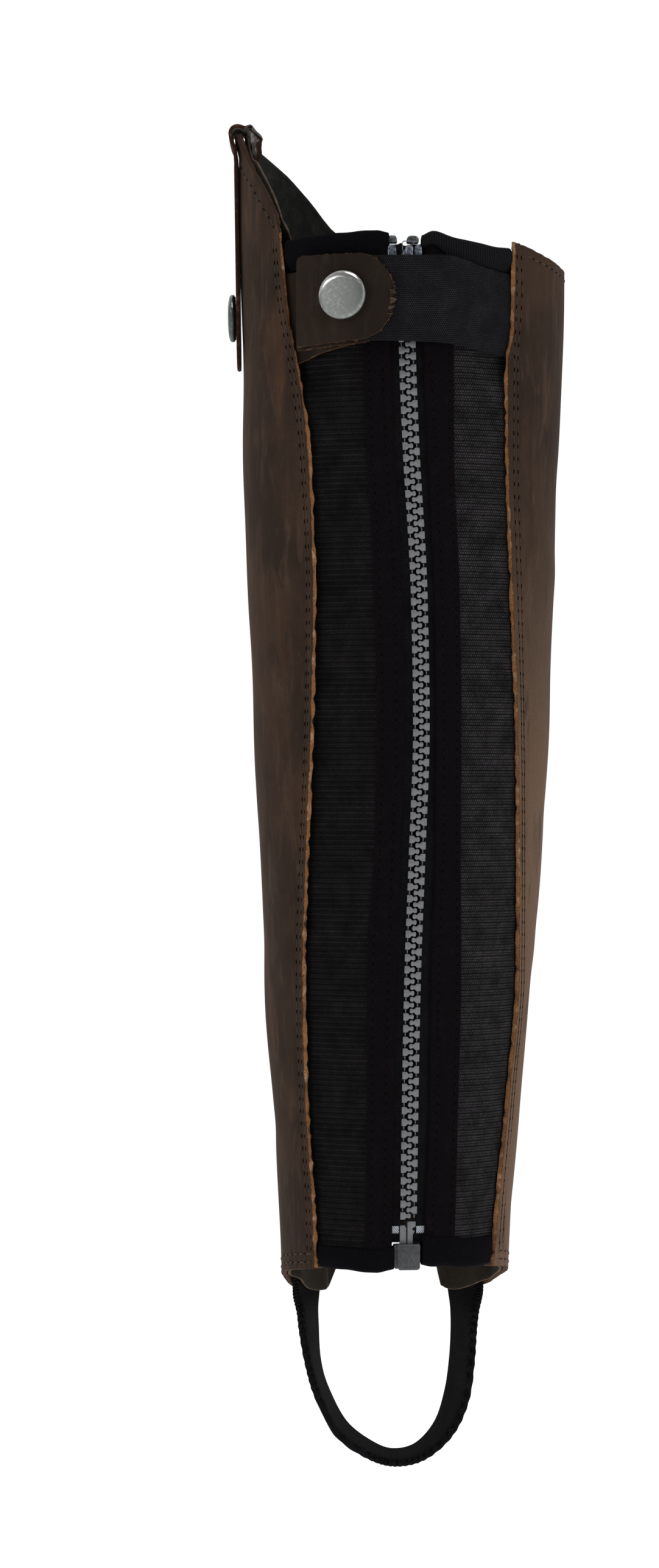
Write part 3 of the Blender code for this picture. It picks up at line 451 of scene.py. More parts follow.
def creases(angle, z):
    """Relief of the listed troughs and ridges."""
    total = np.zeros(np.shape(angle))
    for k in range(len(CREASES["z"])):
        a, at_z, length, width, depth, lean = (CREASES[key][k] for key in CREASES)
        across = np.radians(angle - a) * LEG_RADIUS
        up = z - at_z
        tilt = radians(lean)
        along = across * np.cos(tilt) + up * np.sin(tilt)
        over = up * np.cos(tilt) - across * np.sin(tilt)
        total += depth * np.exp(-(along / length * 2) ** 2 - (over / width * 2) ** 2)
    return total


def swells(angle, z, seed, depth):
    """Gentle unevenness: a few slow waves in random directions."""
    rng = np.random.default_rng(seed)
    total = np.zeros(np.shape(angle))
    across = np.radians(angle) * LEG_RADIUS
    for _ in range(7):
        turn, phase, wave = rng.uniform(0, 2 * pi), rng.uniform(0, 2 * pi), rng.uniform(38, 95)
        total += np.sin((across * np.cos(turn) + z * np.sin(turn)) * 2 * pi / wave + phase)
    return total * depth / 3


def leather_out(angle, z):
    """The panel's relief: creases, unevenness, pulled-in stitch rows and the curled left edge."""
    right, left = leather_edges(z)
    from_left = np.radians(left - angle) * LEG_RADIUS
    from_right = np.radians(angle - right) * LEG_RADIUS
    curl = read(CURL, "z", "lift", z) * ease((CURL_WIDTH - from_left) / CURL_WIDTH)
    groove = 0.0
    for name, turn in (("left_far", 360), ("left_near", 360), ("right_near", 0), ("right_far", 0)):
        row = angle_at(read(SEAM_ROWS, "z", name, z), z) + turn
        groove = groove + np.exp(-(np.radians(angle - row) * LEG_RADIUS / GROOVE_HALF) ** 2)
    inside = ease((from_left - PLAIN_RIM) / PLAIN_FADE) * ease((from_right - PLAIN_RIM) / PLAIN_FADE)
    first, last = TIP_SIDES
    tip = TIP_LEAN * ease((z - TIP_START) / TIP_RISE)
    tip = tip * ease((angle - first) / TIP_FADE) * ease((last - angle) / TIP_FADE)
    relief = (creases(angle, z) + swells(angle, z, 11, 0.35)) * inside
    return relief + curl + tip - GROOVE_DEPTH * np.minimum(groove, 1)


def edge_dense(total, near, fine, coarse):
    """Stops from 0 to 1 along a length, closer together near both ends."""
    close = np.arange(0, near, fine)
    between = np.linspace(near, total - near, int((total - 2 * near) / coarse) + 1)
    return np.concatenate([close, between, total - close[::-1]]) / total


panel_angle, panel_z = wrap(edge_dense(316, 7.5, 0.5, 3.2), edge_dense(400, 5, 1.0, 2.1))
panel_grid = on_leg(panel_angle, panel_z, leather_out(panel_angle, panel_z))
panel_flat = laid_flat(panel_angle, panel_z)
fray = np.random.default_rng(5).normal(0, 0.10, panel_grid.shape)
fray[1:-1, 1:-1] = 0
beside_left = np.radians(leather_edges(panel_z)[1] - panel_angle) * LEG_RADIUS
skived = LEATHER * (1 - 0.4 * ease((panel_z + 45) / 25) * ease((4 - beside_left) / 4))
panel = shell("leather_panel", panel_grid + fray, panel_flat, skived,
              (nubuck_brown, flesh_side, cut_leather, dark_cut_leather))

# ------------------------------
# Lining: thin dark split suede, glued and sewn to the leather. It shows inside the peak, past
# the peak's back slope, and inside the hem round the stirrup's ends.

LAYER_GAP = 0.4
LINING = 0.9
ELASTIC = 1.3
LINING_FACE = -LEATHER - LAYER_GAP
ELASTIC_FACE = LINING_FACE
STIRRUP_THICK = 2.6
STIRRUP_ENDS = ((255.0, 229.0), (120.5, 146.5))  # angles of the near and far edges of each end


def sink(angle, z, wider=0.0):
    """How far the side elastics lie deeper where the calf strap runs under the leather."""
    across = ease((np.abs(angle) - 22) / 12)
    return 2.0 * across * ease((z + 36 + wider) / 10) * ease((16.5 + wider - z) / 6)


def stirrup_room(angle, z):
    beside = 0.0
    for near, far in STIRRUP_ENDS:
        away = np.abs(angle - (near + far) / 2) - abs(near - far) / 2
        beside = np.maximum(beside, ease((9.0 - away) / 6.5))
    return (STIRRUP_THICK + 0.65) * beside * ease((-341 - z) / 8)


def lining_out(angle, z):
    right, left = leather_edges(z)
    from_edge = np.minimum(angle - right, left - angle)
    behind = ease((18.5 - from_edge) / 4.5) * ease((30 - z) / 4)
    deeper = sink(np.minimum(angle, 360 - angle), z, 12.0)
    return LINING_FACE - (ELASTIC + LAYER_GAP + deeper) * behind - stirrup_room(angle, z)


def lining_rise(angle):
    """How far the lining's top stands past the leather's: out on the peak's back slope, and down
    beside the right edge."""
    return 2.2 * ease((angle - 289) / 4) - 3.2 * ease((56 - angle) / 10)


def split_suede(name, dark, light, hem=None, crevice=0.6):
    """Split suede: short loose fibres, worn paler in smudges, and browner near the hem."""
    made, tree = new_finish(name, {
        "Roughness": 0.9, "Specular IOR Level": 0.12, "Sheen Weight": 0.12, "Sheen Tint": "#8B8C86"})
    here = add(tree, "ShaderNodeTexCoord", out="Object")
    smudges, fibres = (
        add(tree, "ShaderNodeTexNoise", {
            "Vector": here, "Scale": 1 / (size * MM), "Detail": detail, "Roughness": rough,
            "Distortion": bent})
        for size, detail, rough, bent in ((6, 5, 0.6, 0.5), (0.4, 3, 0.7, 0.0)))
    base = painted(tree, dark, (smudges, ((0.42, 0.0), (0.72, 1.0)), light))
    if hem:
        low_down = add(tree, "ShaderNodeMapRange", {
            "Value": add(tree, "ShaderNodeSeparateXYZ", {0: here}, "Z"),
            "From Min": -320 * MM, "From Max": -345 * MM}, interpolation_type="SMOOTHSTEP")
        base = add(tree, "ShaderNodeMix", {0: low_down, 6: base, 7: hem}, 2, data_type="RGBA")
    base = painted(tree, base, (fibres, ((0.35, crevice), (0.6, 0.0)), "#080908"))
    return finished(made, base, (smudges, 0.3, 0.3), (fibres, 0.15, 0.7))


lining_suede = split_suede("grey-green split suede", "#121412", "#262824", "#2B241B")
lining_cut = raw_edge("cut edge of split suede", "#44362C", "#544539", "#5E5045", "#8A7663", 0.3)
lining_us = np.sort(np.concatenate([
    edge_dense(316, 9, 1.5, 4.0), np.linspace(0.02, 0.11, 14), np.linspace(0.89, 0.98, 14)]))
lining_angle, lining_z = wrap(lining_us, edge_dense(400, 8, 1.6, 5.0), lining_rise, 0.6)
lining_grid = on_leg(lining_angle, lining_z, lining_out(lining_angle, lining_z))
lining = shell("suede_lining", lining_grid, laid_flat(lining_angle, lining_z), LINING,
               (lining_suede, lining_suede, lining_cut), swell=0.3)
dress(lining, ["lining"])

# ------------------------------
# Side elastics: black ribbed elastic, 2 mm ribs across the leg, each a row of small stitches.
# They are sewn under the leather's edges and to the zip panels.

FOLD = table(  # the back's top and bottom folds
    "x top bottom",
    (-43, 23.2, -352.3),
    (-28, 24.1, -352.3),
    (-10, 24.8, -353.2),
    (-5, 23.6, -352.0),
    (7, 22.9, -350.2),
    (12, 24.3, -350.8),
    (22, 21.8, -351.8),
    (31, 20.6, -352.4),
    (41, 19.5, -352.4),
)
FOLD_ROOM = 2.4
RIB_PITCH = 2.05
ELASTIC_LENGTH = 372.0
WAVE_SCALE = pi / 10  # divided by a pitch, this is the scale of a wave texture with that pitch


def line_angle(name, z, shift=0.0, turn=0.0):
    """Angles of one of the back's lines at heights, moved sideways and turned on."""
    return angle_at(read(BACK, "z", name, z) + shift, z) + turn


def back_grid(left, right, us, vs, span=None):
    """Angles and heights of a strip down the back between two lines, up to the folds or a span."""
    u, v = np.meshgrid(us, vs)
    low, high = span or (
        read(FOLD, "x", "bottom", 0.0) + FOLD_ROOM, read(FOLD, "x", "top", 0.0) - FOLD_ROOM)
    z = mix(low, high, v)
    angle = mix(line_angle(*left[:1], z, *left[1:]), line_angle(*right[:1], z, *right[1:]), u)
    if span is None:
        x = on_leg(angle, z)[..., 0]
        z = mix(read(FOLD, "x", "bottom", x) + FOLD_ROOM, read(FOLD, "x", "top", x) - FOLD_ROOM, v)
        angle = mix(line_angle(*left[:1], z, *left[1:]), line_angle(*right[:1], z, *right[1:]), u)
    return angle, z


def woven(name, dark, light, stitch, rib=None, sheen=0.03, full=0.55):
    """Black woven or knitted cloth: matt threads that catch a little light on each stitch.

    A stitch has its width, its height and the gap to the next one, and each row lies half a
    stitch on from the last. Full is the shade at which a stitch is at its lightest.
    """
    made, tree = new_finish(name, {
        "Roughness": 0.9, "Specular IOR Level": 0.05, "Sheen Weight": sheen, "Sheen Roughness": 0.4,
        "Sheen Tint": "#8C8F96"})
    flat = add(tree, "ShaderNodeUVMap")
    width, height, gap = stitch
    ticks = add(tree, "ShaderNodeTexBrick", {
        "Vector": flat, "Color1": (1, 1, 1, 1), "Color2": (0.75, 0.75, 0.75, 1), "Mortar": (0, 0, 0, 1),
        "Scale": 1.0, "Mortar Size": gap, "Mortar Smooth": 0.9, "Brick Width": width,
        "Row Height": height}, offset=0.5)
    wear, lint = (
        add(tree, "ShaderNodeTexNoise", {
            "Vector": flat, "Scale": 1 / size, "Detail": detail, "Roughness": 0.6})
        for size, detail in ((9.0, 4), (0.35, 2)))
    shade = add(tree, "ShaderNodeMath", {0: ticks, 1: lint}, operation="MULTIPLY")
    layers = [(ticks, 0.12, 0.6), (lint, 0.08, 0.4)]
    if rib:
        ribs = add(tree, "ShaderNodeTexWave", {
            "Vector": flat, "Scale": WAVE_SCALE / rib, "Distortion": 0.35, "Detail": 2.0,
            "Detail Scale": 1.5}, "Fac", bands_direction="Y")
        share = add(tree, "ShaderNodeMath", {0: ribs, 1: 0.45, 2: 0.55}, operation="MULTIPLY_ADD")
        shade = add(tree, "ShaderNodeMath", {0: shade, 1: share}, operation="MULTIPLY")
        layers.insert(0, (ribs, 0.12, 0.4))
    shade = add(tree, "ShaderNodeMath", {0: shade, 1: wear}, operation="MULTIPLY")
    base = add(tree, "ShaderNodeValToRGB", {0: shade}, stops=((0.06, dark), (full, light)), smooth=False)
    return finished(made, base, *layers)


def elastic(name, left, right, node, dark, light, stitch, relief):
    """One side elastic, its ribs raised."""
    ribbed_elastic = woven(name.replace("_", " "), dark, light, stitch, RIB_PITCH, full=0.45)
    rows = int(ELASTIC_LENGTH / RIB_PITCH * 5)
    angle, z = back_grid(left, right, np.linspace(0, 1, 17), np.linspace(0, 1, rows))
    ribs = relief * np.cos(2 * pi * z / RIB_PITCH)
    grid = on_leg(angle, z, ELASTIC_FACE - sink(angle, z) + ribs - relief)
    made = shell(name, grid, laid_flat(angle, z), ELASTIC, (ribbed_elastic,) * 3)
    return dress(made, [node])


SEAM_GAP = 0.15
elastic("ribbed_elastic_left", ("leather_left", 0.0, -10.0), ("seam_left", -SEAM_GAP), "elastic_left",
        "#050505", "#2F2C2D", (0.48, 1.0, 0.14), 0.08)
elastic("ribbed_elastic_right", ("seam_right", SEAM_GAP), ("leather_right", 0.0, 10.0), "elastic_right",
        "#0A0A0A", "#504D50", (0.95, RIB_PITCH / 2, 0.22), 0.12)

# ------------------------------
# Zip panels: black brushed stretch cloth, folded under beside the zip and sewn down twice.

PANEL = 1.3
PANEL_EDGE = 6.3
FOLD_ROLL = 1.6  # width of the rolled edge beside the zip


def brushed(name, dark, light):
    """Brushed stretch cloth: a short even pile, almost black, with a breath of purple brown."""
    made, tree = new_finish(name, {
        "Roughness": 0.95, "Specular IOR Level": 0.03, "Sheen Weight": 0.025, "Sheen Roughness": 0.5,
        "Sheen Tint": "#8A7F86"})
    flat = add(tree, "ShaderNodeUVMap")
    pile, wear = (
        add(tree, "ShaderNodeTexNoise", {
            "Vector": flat, "Scale": 1 / size, "Detail": detail, "Roughness": rough})
        for size, detail, rough in ((0.4, 3, 0.75), (7.0, 4, 0.6)))
    base = painted(
        tree, dark, (pile, ((0.46, 0.0), (0.74, 1.0)), light), (wear, ((0.5, 0.0), (0.8, 0.3)), light))
    return finished(made, base, (wear, 0.3, 0.2), (pile, 0.15, 0.7))


brushed_cloth = brushed("brushed stretch cloth", "#080608", "#1C181B")


def zip_panel(name, left, right, zip_side, node):
    """One panel, with its zip side rolled under."""
    us = edge_dense(10, 2.4, 0.3, 1.0)
    angle, z = back_grid(left, right, us, np.linspace(0, 1, 190))
    line, *shift = left if zip_side < 0 else right
    edge = line_angle(line, z, *shift)
    from_edge = np.abs(np.radians(angle - edge)) * LEG_RADIUS
    roll = np.sqrt(np.clip(1 - (1 - np.minimum(from_edge / FOLD_ROLL, 1)) ** 2, 0, 1))
    ripple = 0.18 * np.sin(z / 13.0) * np.sin(z / 5.3 + 1.0) * (1 - np.minimum(from_edge / 6, 1))
    grid = on_leg(angle, z, ELASTIC_FACE + 0.5 * roll - 0.9 * (1 - roll) + ripple)
    made = shell(name, grid, laid_flat(angle, z), PANEL, (brushed_cloth,) * 3, swell=0.3)
    return dress(made, [node])


zip_panel("panel_beside_zip_left", ("seam_left", SEAM_GAP), ("zip", -PANEL_EDGE), 1, "zip_panel_left")
zip_panel("panel_beside_zip_right", ("panel_right",), ("seam_right", -SEAM_GAP), -1, "zip_panel_right")

# ------------------------------
# Zip tapes: fine black weave, with a thick cord along the inner edge that carries the teeth.

CHAIN_FACE = -2.6
CHAIN_DEPTH = 3.0
TAPE = 0.8
TAPE_FACE = ELASTIC_FACE - PANEL - LAYER_GAP
TAPE_SPAN = (-341.9, 19.5)
CHAIN_SPAN = (-334.2, 15.3)
CORD_MIDDLE = 2.45  # from the zip's middle
CORD_HALF = 0.75
CORD_HIGH = 0.3
TAPE_EDGE = 12.3  # from the zip's middle, sewn in under the panel
# The film's own sizes, on the unrolled cloth: the zip's middle and how far the film stays off it,
# its lower edge, where it is at its whitest, and its top
FILM_MIDDLE, FILM_CLEAR = 5.6, 4.6
FILM_FOOT, FILM_BRIGHT, FILM_TOP = -338.9, -338.3, -336.0


def taped_weave(name):
    """Tape weave that ends in a film beside the pins: lifted and frayed white at its top."""
    made = woven(name, "#060607", "#2C2C2F", (0.7, 0.5, 0.16), sheen=0.02)
    tree = made.node_tree
    weave = tree.nodes["Principled BSDF"].inputs["Base Color"].links[0].from_socket
    flat = add(tree, "ShaderNodeUVMap")
    x, y = (add(tree, "ShaderNodeSeparateXYZ", {0: flat}, axis) for axis in "XY")
    slant = add(tree, "ShaderNodeTexWave", {
        "Vector": flat, "Scale": WAVE_SCALE / 0.55, "Distortion": 0.8, "Detail": 2.0,
        "Detail Scale": 1.5}, "Fac", bands_direction="DIAGONAL")
    torn = add(tree, "ShaderNodeTexNoise", {
        "Vector": flat, "Scale": 1 / 1.3, "Detail": 4, "Roughness": 0.7})
    down = add(tree, "ShaderNodeMapRange", {
        "Value": y, "From Min": FILM_FOOT, "From Max": FILM_BRIGHT, "To Min": 0.12},
        interpolation_type="SMOOTHSTEP")
    below = add(tree, "ShaderNodeMath", {0: y, 1: FILM_TOP}, operation="LESS_THAN")
    aside = add(tree, "ShaderNodeMath", {0: x, 1: FILM_MIDDLE}, operation="SUBTRACT")
    aside = add(tree, "ShaderNodeMath", {0: aside}, operation="ABSOLUTE")
    aside = add(tree, "ShaderNodeMath", {0: aside, 1: FILM_CLEAR}, operation="GREATER_THAN")
    white = add(tree, "ShaderNodeMath", {0: torn, 1: 0.9, 2: slant}, operation="MULTIPLY_ADD")
    for share in (down, below, aside):
        white = add(tree, "ShaderNodeMath", {0: white, 1: share}, operation="MULTIPLY")
    film = painted(tree, weave, (white, ((0.3, 0.0), (1.0, 1.0)), "#B9BFC8"))
    return finished(made, film)


tape_weave = taped_weave("zip tape weave")


def tape(name, side, node):
    """One tape, its corded edge towards the middle."""
    inner, outer_edge = side * (CORD_MIDDLE - CORD_HALF), side * TAPE_EDGE
    left, right = sorted((inner, outer_edge))
    us = edge_dense(9.3, 2.2, 0.25, 1.0)
    angle, z = back_grid(("zip", left), ("zip", right), us, np.linspace(0, 1, 180), TAPE_SPAN)
    middle = line_angle("zip", z, side * CORD_MIDDLE)
    away = np.radians(angle - middle) * LEG_RADIUS / CORD_HALF
    cord = np.sqrt(np.clip(1 - away ** 2, 0, 1)) * CORD_HIGH
    grid = on_leg(angle, z, TAPE_FACE + cord)
    made = shell(name, grid, laid_flat(angle, z), TAPE, (tape_weave,) * 3)
    return dress(made, [node])


tape("woven_tape_left", -1, "zip_tape_left")
tape("woven_tape_right", 1, "zip_tape_right")

# ------------------------------
# Zip teeth: moulded dark grey acetal, one every 4.3 mm on each side. Each is a block on the
# cord, a neck, and a head that catches behind the heads of the other side.

TOOTH_PITCH = 4.3
TOOTH_HIGH = 1.37  # half height of the block
TOOTH_OUTER = 3.05  # from the zip's middle
TOOTH_DEEP = 2.3


def moulded(name, base, light, roughness, gloss=0.4):
    """Moulded acetal: an even satin skin with faint flow marks."""
    made, tree = new_finish(name, {"Roughness": roughness, "IOR": 1.48, "Specular IOR Level": gloss})
    here = add(tree, "ShaderNodeTexCoord", out="Object")
    flow, fine = (
        add(tree, "ShaderNodeTexNoise", {
            "Vector": here, "Scale": 1 / (size * MM), "Detail": detail, "Roughness": rough})
        for size, detail, rough in ((1.2, 4, 0.6), (0.15, 2, 0.5)))
    shade = painted(tree, base, (flow, ((0.35, 0.0), (0.7, 1.0)), light))
    shade = add(tree, "ShaderNodeMix", {0: 0.35, 6: base, 7: shade}, 2, data_type="RGBA")
    return finished(made, shade, (fine, 0.02, 0.4))


tooth_plastic = moulded("moulded acetal", "#626365", "#77787B", 0.42)
# Faces of a tooth that don't look straight out get a near-black copy of the acetal: painted shade on the
# sides.
tooth_painted_shade = moulded("acetal sides in painted shade", "#0B0B0C", "#161617", 0.8, 0.1)


def smooth_mesh(name, bm):
    """The mesh of what was built, smooth but for its real edges."""
    mesh = bpy.data.meshes.new(name)
    bm.to_mesh(mesh)
    bm.free()
    mesh.shade_smooth()
    mesh.set_sharp_from_angle(angle=radians(50))
    return mesh


def prism(name, outline, depth, rounding, segments=2):
    """A plate: an outline in X and Z pulled out along -Y, with its edges rounded, in metres."""
    bm = bmesh.new()
    verts = [bm.verts.new((x * MM, 0, z * MM)) for x, z in outline]
    face = bm.faces.new(verts)
    pulled = bmesh.ops.extrude_face_region(bm, geom=[face])
    moved = [v for v in pulled["geom"] if isinstance(v, bmesh.types.BMVert)]
    bmesh.ops.translate(bm, vec=(0, -depth * MM, 0), verts=moved)
    bmesh.ops.recalc_face_normals(bm, faces=bm.faces)
    if rounding:
        edges = [e for e in bm.edges if e.calc_face_angle(0) > 0.3]
        bmesh.ops.bevel(
            bm, geom=edges, offset=rounding * MM, segments=segments, affect="EDGES", profile=0.5,
            clamp_overlap=True)
    return smooth_mesh(name, bm)


def joined(name, parts, *materials):
    """One piece from several meshes, each with the place that it is moved to."""
    bm = bmesh.new()
    for mesh, place in parts:
        mesh.transform(place)
        bm.from_mesh(mesh)
        bpy.data.meshes.remove(mesh)
    return add_object(name, smooth_mesh(name, bm), materials)


# Half of a tooth's outline from the cord towards the other side, as X from the zip's middle
TOOTH_HALF = (
    (-TOOTH_OUTER, TOOTH_HIGH), (-1.45, TOOTH_HIGH), (-0.95, 0.75), (-0.7, 0.64), (-0.35, 0.72),
    (-0.1, 0.88), (0.2, 0.92), (0.5, 0.85), (0.78, 0.4),
)
LINK = ((-2.35, 1.2), (-1.9, 1.2), (-1.9, 3.0), (-2.35, 3.0))  # between two teeth of one side
tooth_outline = [*TOOTH_HALF, *[(x, -z) for x, z in reversed(TOOTH_HALF)]]
tooth_shape = joined("tooth_shape", [
    (prism("tooth", tooth_outline, TOOTH_DEEP, 0.14, 1), Matrix.Identity(4)),
    (prism("link", LINK, 1.3, 0.1, 1), Matrix.Identity(4))])
# Faces that don't face the front are marked, for the painted shade on the teeth's sides.
sides = tooth_shape.data.attributes.new("side", "BOOLEAN", "FACE")
sides.data.foreach_set("value", [face.normal.y > -0.5 for face in tooth_shape.data.polygons])


def line_on_leg(rows, step):
    """A mesh of lines on the leg, each from (angles, heights, out), that know the way out.

    Each is read again about every step millimetres.
    """
    points, edges, ways = [], [], []
    for angles, heights, out in rows:
        there = on_leg(angles, heights, out)
        run = run_along(there)
        at = np.linspace(0, run[-1], max(2, int(run[-1] / step)))
        angle, z, lift = (np.interp(at, run, np.broadcast_to(v, run.shape)) for v in (angles, heights, out))
        here = on_leg(angle, z, lift)
        way = np.cross(on_leg(angle + 0.5, z, lift) - here, on_leg(angle, z + 0.5, lift) - here)
        first = len(points)
        points.extend(here * MM)
        ways.extend(way / np.linalg.norm(way, axis=1, keepdims=True))
        edges.extend((first + k, first + k + 1) for k in range(len(at) - 1))
    mesh = bpy.data.meshes.new("lines")
    mesh.from_pydata([tuple(p) for p in points], edges, [])
    attribute = mesh.attributes.new("way_out", "FLOAT_VECTOR", "POINT")
    attribute.data.foreach_set("vector", np.array(ways, np.float32).ravel())
    return mesh


def new_tree(name, sockets):
    """An empty Geometry Nodes tree with named inputs."""
    tree = bpy.data.node_groups.new(name, "GeometryNodeTree")
    tree.interface.new_socket("Geometry", in_out="INPUT", socket_type="NodeSocketGeometry")
    for label, kind in sockets.items():
        tree.interface.new_socket(label, in_out="INPUT", socket_type="NodeSocket" + kind)
    tree.interface.new_socket("Geometry", in_out="OUTPUT", socket_type="NodeSocketGeometry")
    return tree, tree.nodes.new("NodeGroupInput").outputs, tree.nodes.new("NodeGroupOutput")


def placed_along(tree, geometry, start, pitch):
    """Points a pitch apart along each line, and the rotation that turns X along it and Z out.

    A line is first cut to a whole number of pitches, so that none is stretched.
    """
    curve = add(tree, "GeometryNodeMeshToCurve", {0: geometry})
    length = add(tree, "GeometryNodeSplineLength", out="Length")
    room = add(tree, "ShaderNodeMath", {0: length, 1: start}, operation="SUBTRACT")
    count = add(tree, "ShaderNodeMath", {0: room, 1: pitch}, operation="DIVIDE")
    whole = add(tree, "ShaderNodeMath", {0: count}, operation="FLOOR")
    end = add(tree, "ShaderNodeMath", {0: whole, 1: pitch, 2: start}, operation="MULTIPLY_ADD")
    end = add(tree, "ShaderNodeMath", {0: end, 1: 2e-6}, operation="ADD")
    shorter = add(tree, "GeometryNodeTrimCurve", {0: curve, 4: start, 5: end}, mode="LENGTH")
    points = add(tree, "GeometryNodeResampleCurve", {"Curve": shorter, "Length": pitch}, mode="LENGTH")
    way = add(tree, "GeometryNodeInputNamedAttribute", {"Name": "way_out"}, data_type="FLOAT_VECTOR")
    turn = add(tree, "FunctionNodeAxesToRotation", {0: way, 1: add(tree, "GeometryNodeInputTangent")},
               primary_axis="Z", secondary_axis="X")
    return points, turn


def grown(name, source, tree, settings):
    """The plain mesh that a tree makes from lines."""
    holder = bpy.data.objects.new(name, source)
    bpy.context.scene.collection.objects.link(holder)
    modifier = holder.modifiers.new(tree.name, "NODES")
    modifier.node_group = tree
    for item in tree.interface.items_tree:
        if item.in_out == "INPUT" and item.name in settings:
            modifier[item.identifier] = settings[item.name]
    depsgraph = bpy.context.evaluated_depsgraph_get()
    mesh = bpy.data.meshes.new_from_object(holder.evaluated_get(depsgraph), depsgraph=depsgraph)
    holder.modifiers.remove(modifier)
    holder.data = mesh
    mesh.name = name
    return holder


tooth_tree, given, result = new_tree("Teeth along a zip", {
    "Tooth": "Object", "Pitch": "Float", "Start": "Float", "Turn": "Float", "Plastic": "Material",
    "Side": "Material"})
places, facing = placed_along(tooth_tree, given["Geometry"], given["Start"], given["Pitch"])
tooth = add(tooth_tree, "GeometryNodeObjectInfo", {"Object": given["Tooth"]}, "Geometry")
quarter = add(tooth_tree, "FunctionNodeAxisAngleToRotation", {"Axis": (0, 0, 1), "Angle": given["Turn"]})
facing = add(tooth_tree, "FunctionNodeRotateRotation", {0: facing, 1: quarter}, rotation_space="LOCAL")
teeth = add(tooth_tree, "GeometryNodeInstanceOnPoints", {
    "Points": places, "Instance": tooth, "Rotation": facing})
teeth = add(tooth_tree, "GeometryNodeRealizeInstances", {0: teeth})
teeth = add(tooth_tree, "GeometryNodeSetMaterial", {"Geometry": teeth, "Material": given["Plastic"]})
# The marked side faces take the near-black copy of the acetal: painted shade.
is_painted_shade_face = add(tooth_tree, "GeometryNodeInputNamedAttribute", {"Name": "side"}, data_type="BOOLEAN")
teeth = add(tooth_tree, "GeometryNodeSetMaterial", {
    "Geometry": teeth, "Selection": is_painted_shade_face, "Material": given["Side"]})
tooth_tree.links.new(teeth, result.inputs[0])

# A tooth's shape lies in X and Z with its face towards -Y. On a line that runs up, X along the
# line and Z out, it is laid down so that its face points along Z and its height along X.
tooth_shape.data.transform(Matrix(((0, 0, 1, 0), (-1, 0, 0, 0), (0, -1, 0, 0), (0, 0, 0, 1))))
zip_heights = np.linspace(*CHAIN_SPAN, 90)
zip_middle = (line_angle("zip", zip_heights), zip_heights, CHAIN_FACE - TOOTH_DEEP)
for side, start, turn in (("left", TOOTH_PITCH / 2, 0.0), ("right", TOOTH_PITCH, pi)):
    row = grown("teeth_" + side, line_on_leg([zip_middle], 2.0), tooth_tree, {
        "Tooth": tooth_shape, "Pitch": TOOTH_PITCH * MM, "Start": start * MM, "Turn": turn,
        "Plastic": tooth_plastic, "Side": tooth_painted_shade})
    dress(row, ["zip_chain"])
bpy.data.objects.remove(tooth_shape)

# ------------------------------
# Bindings: black stretch tape folded over the back's top and bottom edges and sewn through.
# The right top one shows fine upright ribs.

BINDING = 0.8
BINDING_OUTER = -1.4
BINDING_INNER = -5.4
fold_radius = (BINDING_OUTER - BINDING_INNER) / 2
fold_middle = (BINDING_OUTER + BINDING_INNER) / 2


def upright_ribs(name, dark, light):
    """Fine ribbed stretch tape: upright ribs 0.9 mm apart, dull charcoal."""
    made, tree = new_finish(name, {
        "Roughness": 0.88, "Specular IOR Level": 0.05, "Sheen Weight": 0.04, "Sheen Tint": "#8C8F96"})
    flat = add(tree, "ShaderNodeUVMap")
    ribs = add(tree, "ShaderNodeTexWave", {
        "Vector": flat, "Scale": WAVE_SCALE / 0.9, "Distortion": 0.5, "Detail": 2.0,
        "Detail Scale": 1.5}, "Fac", bands_direction="X")
    lint = add(tree, "ShaderNodeTexNoise", {
        "Vector": flat, "Scale": 1 / 0.4, "Detail": 3, "Roughness": 0.7})
    shade = add(tree, "ShaderNodeMath", {0: ribs, 1: lint}, operation="MULTIPLY")
    base = add(tree, "ShaderNodeValToRGB", {0: shade}, stops=((0.1, dark), (0.6, light)))
    return finished(made, base, (ribs, 0.05, 0.4), (lint, 0.1, 0.4))


plain_binding = brushed("plain binding", "#060507", "#151417")
ribbed_binding = upright_ribs("ribbed binding", "#0A0A0B", "#1A1A1D")


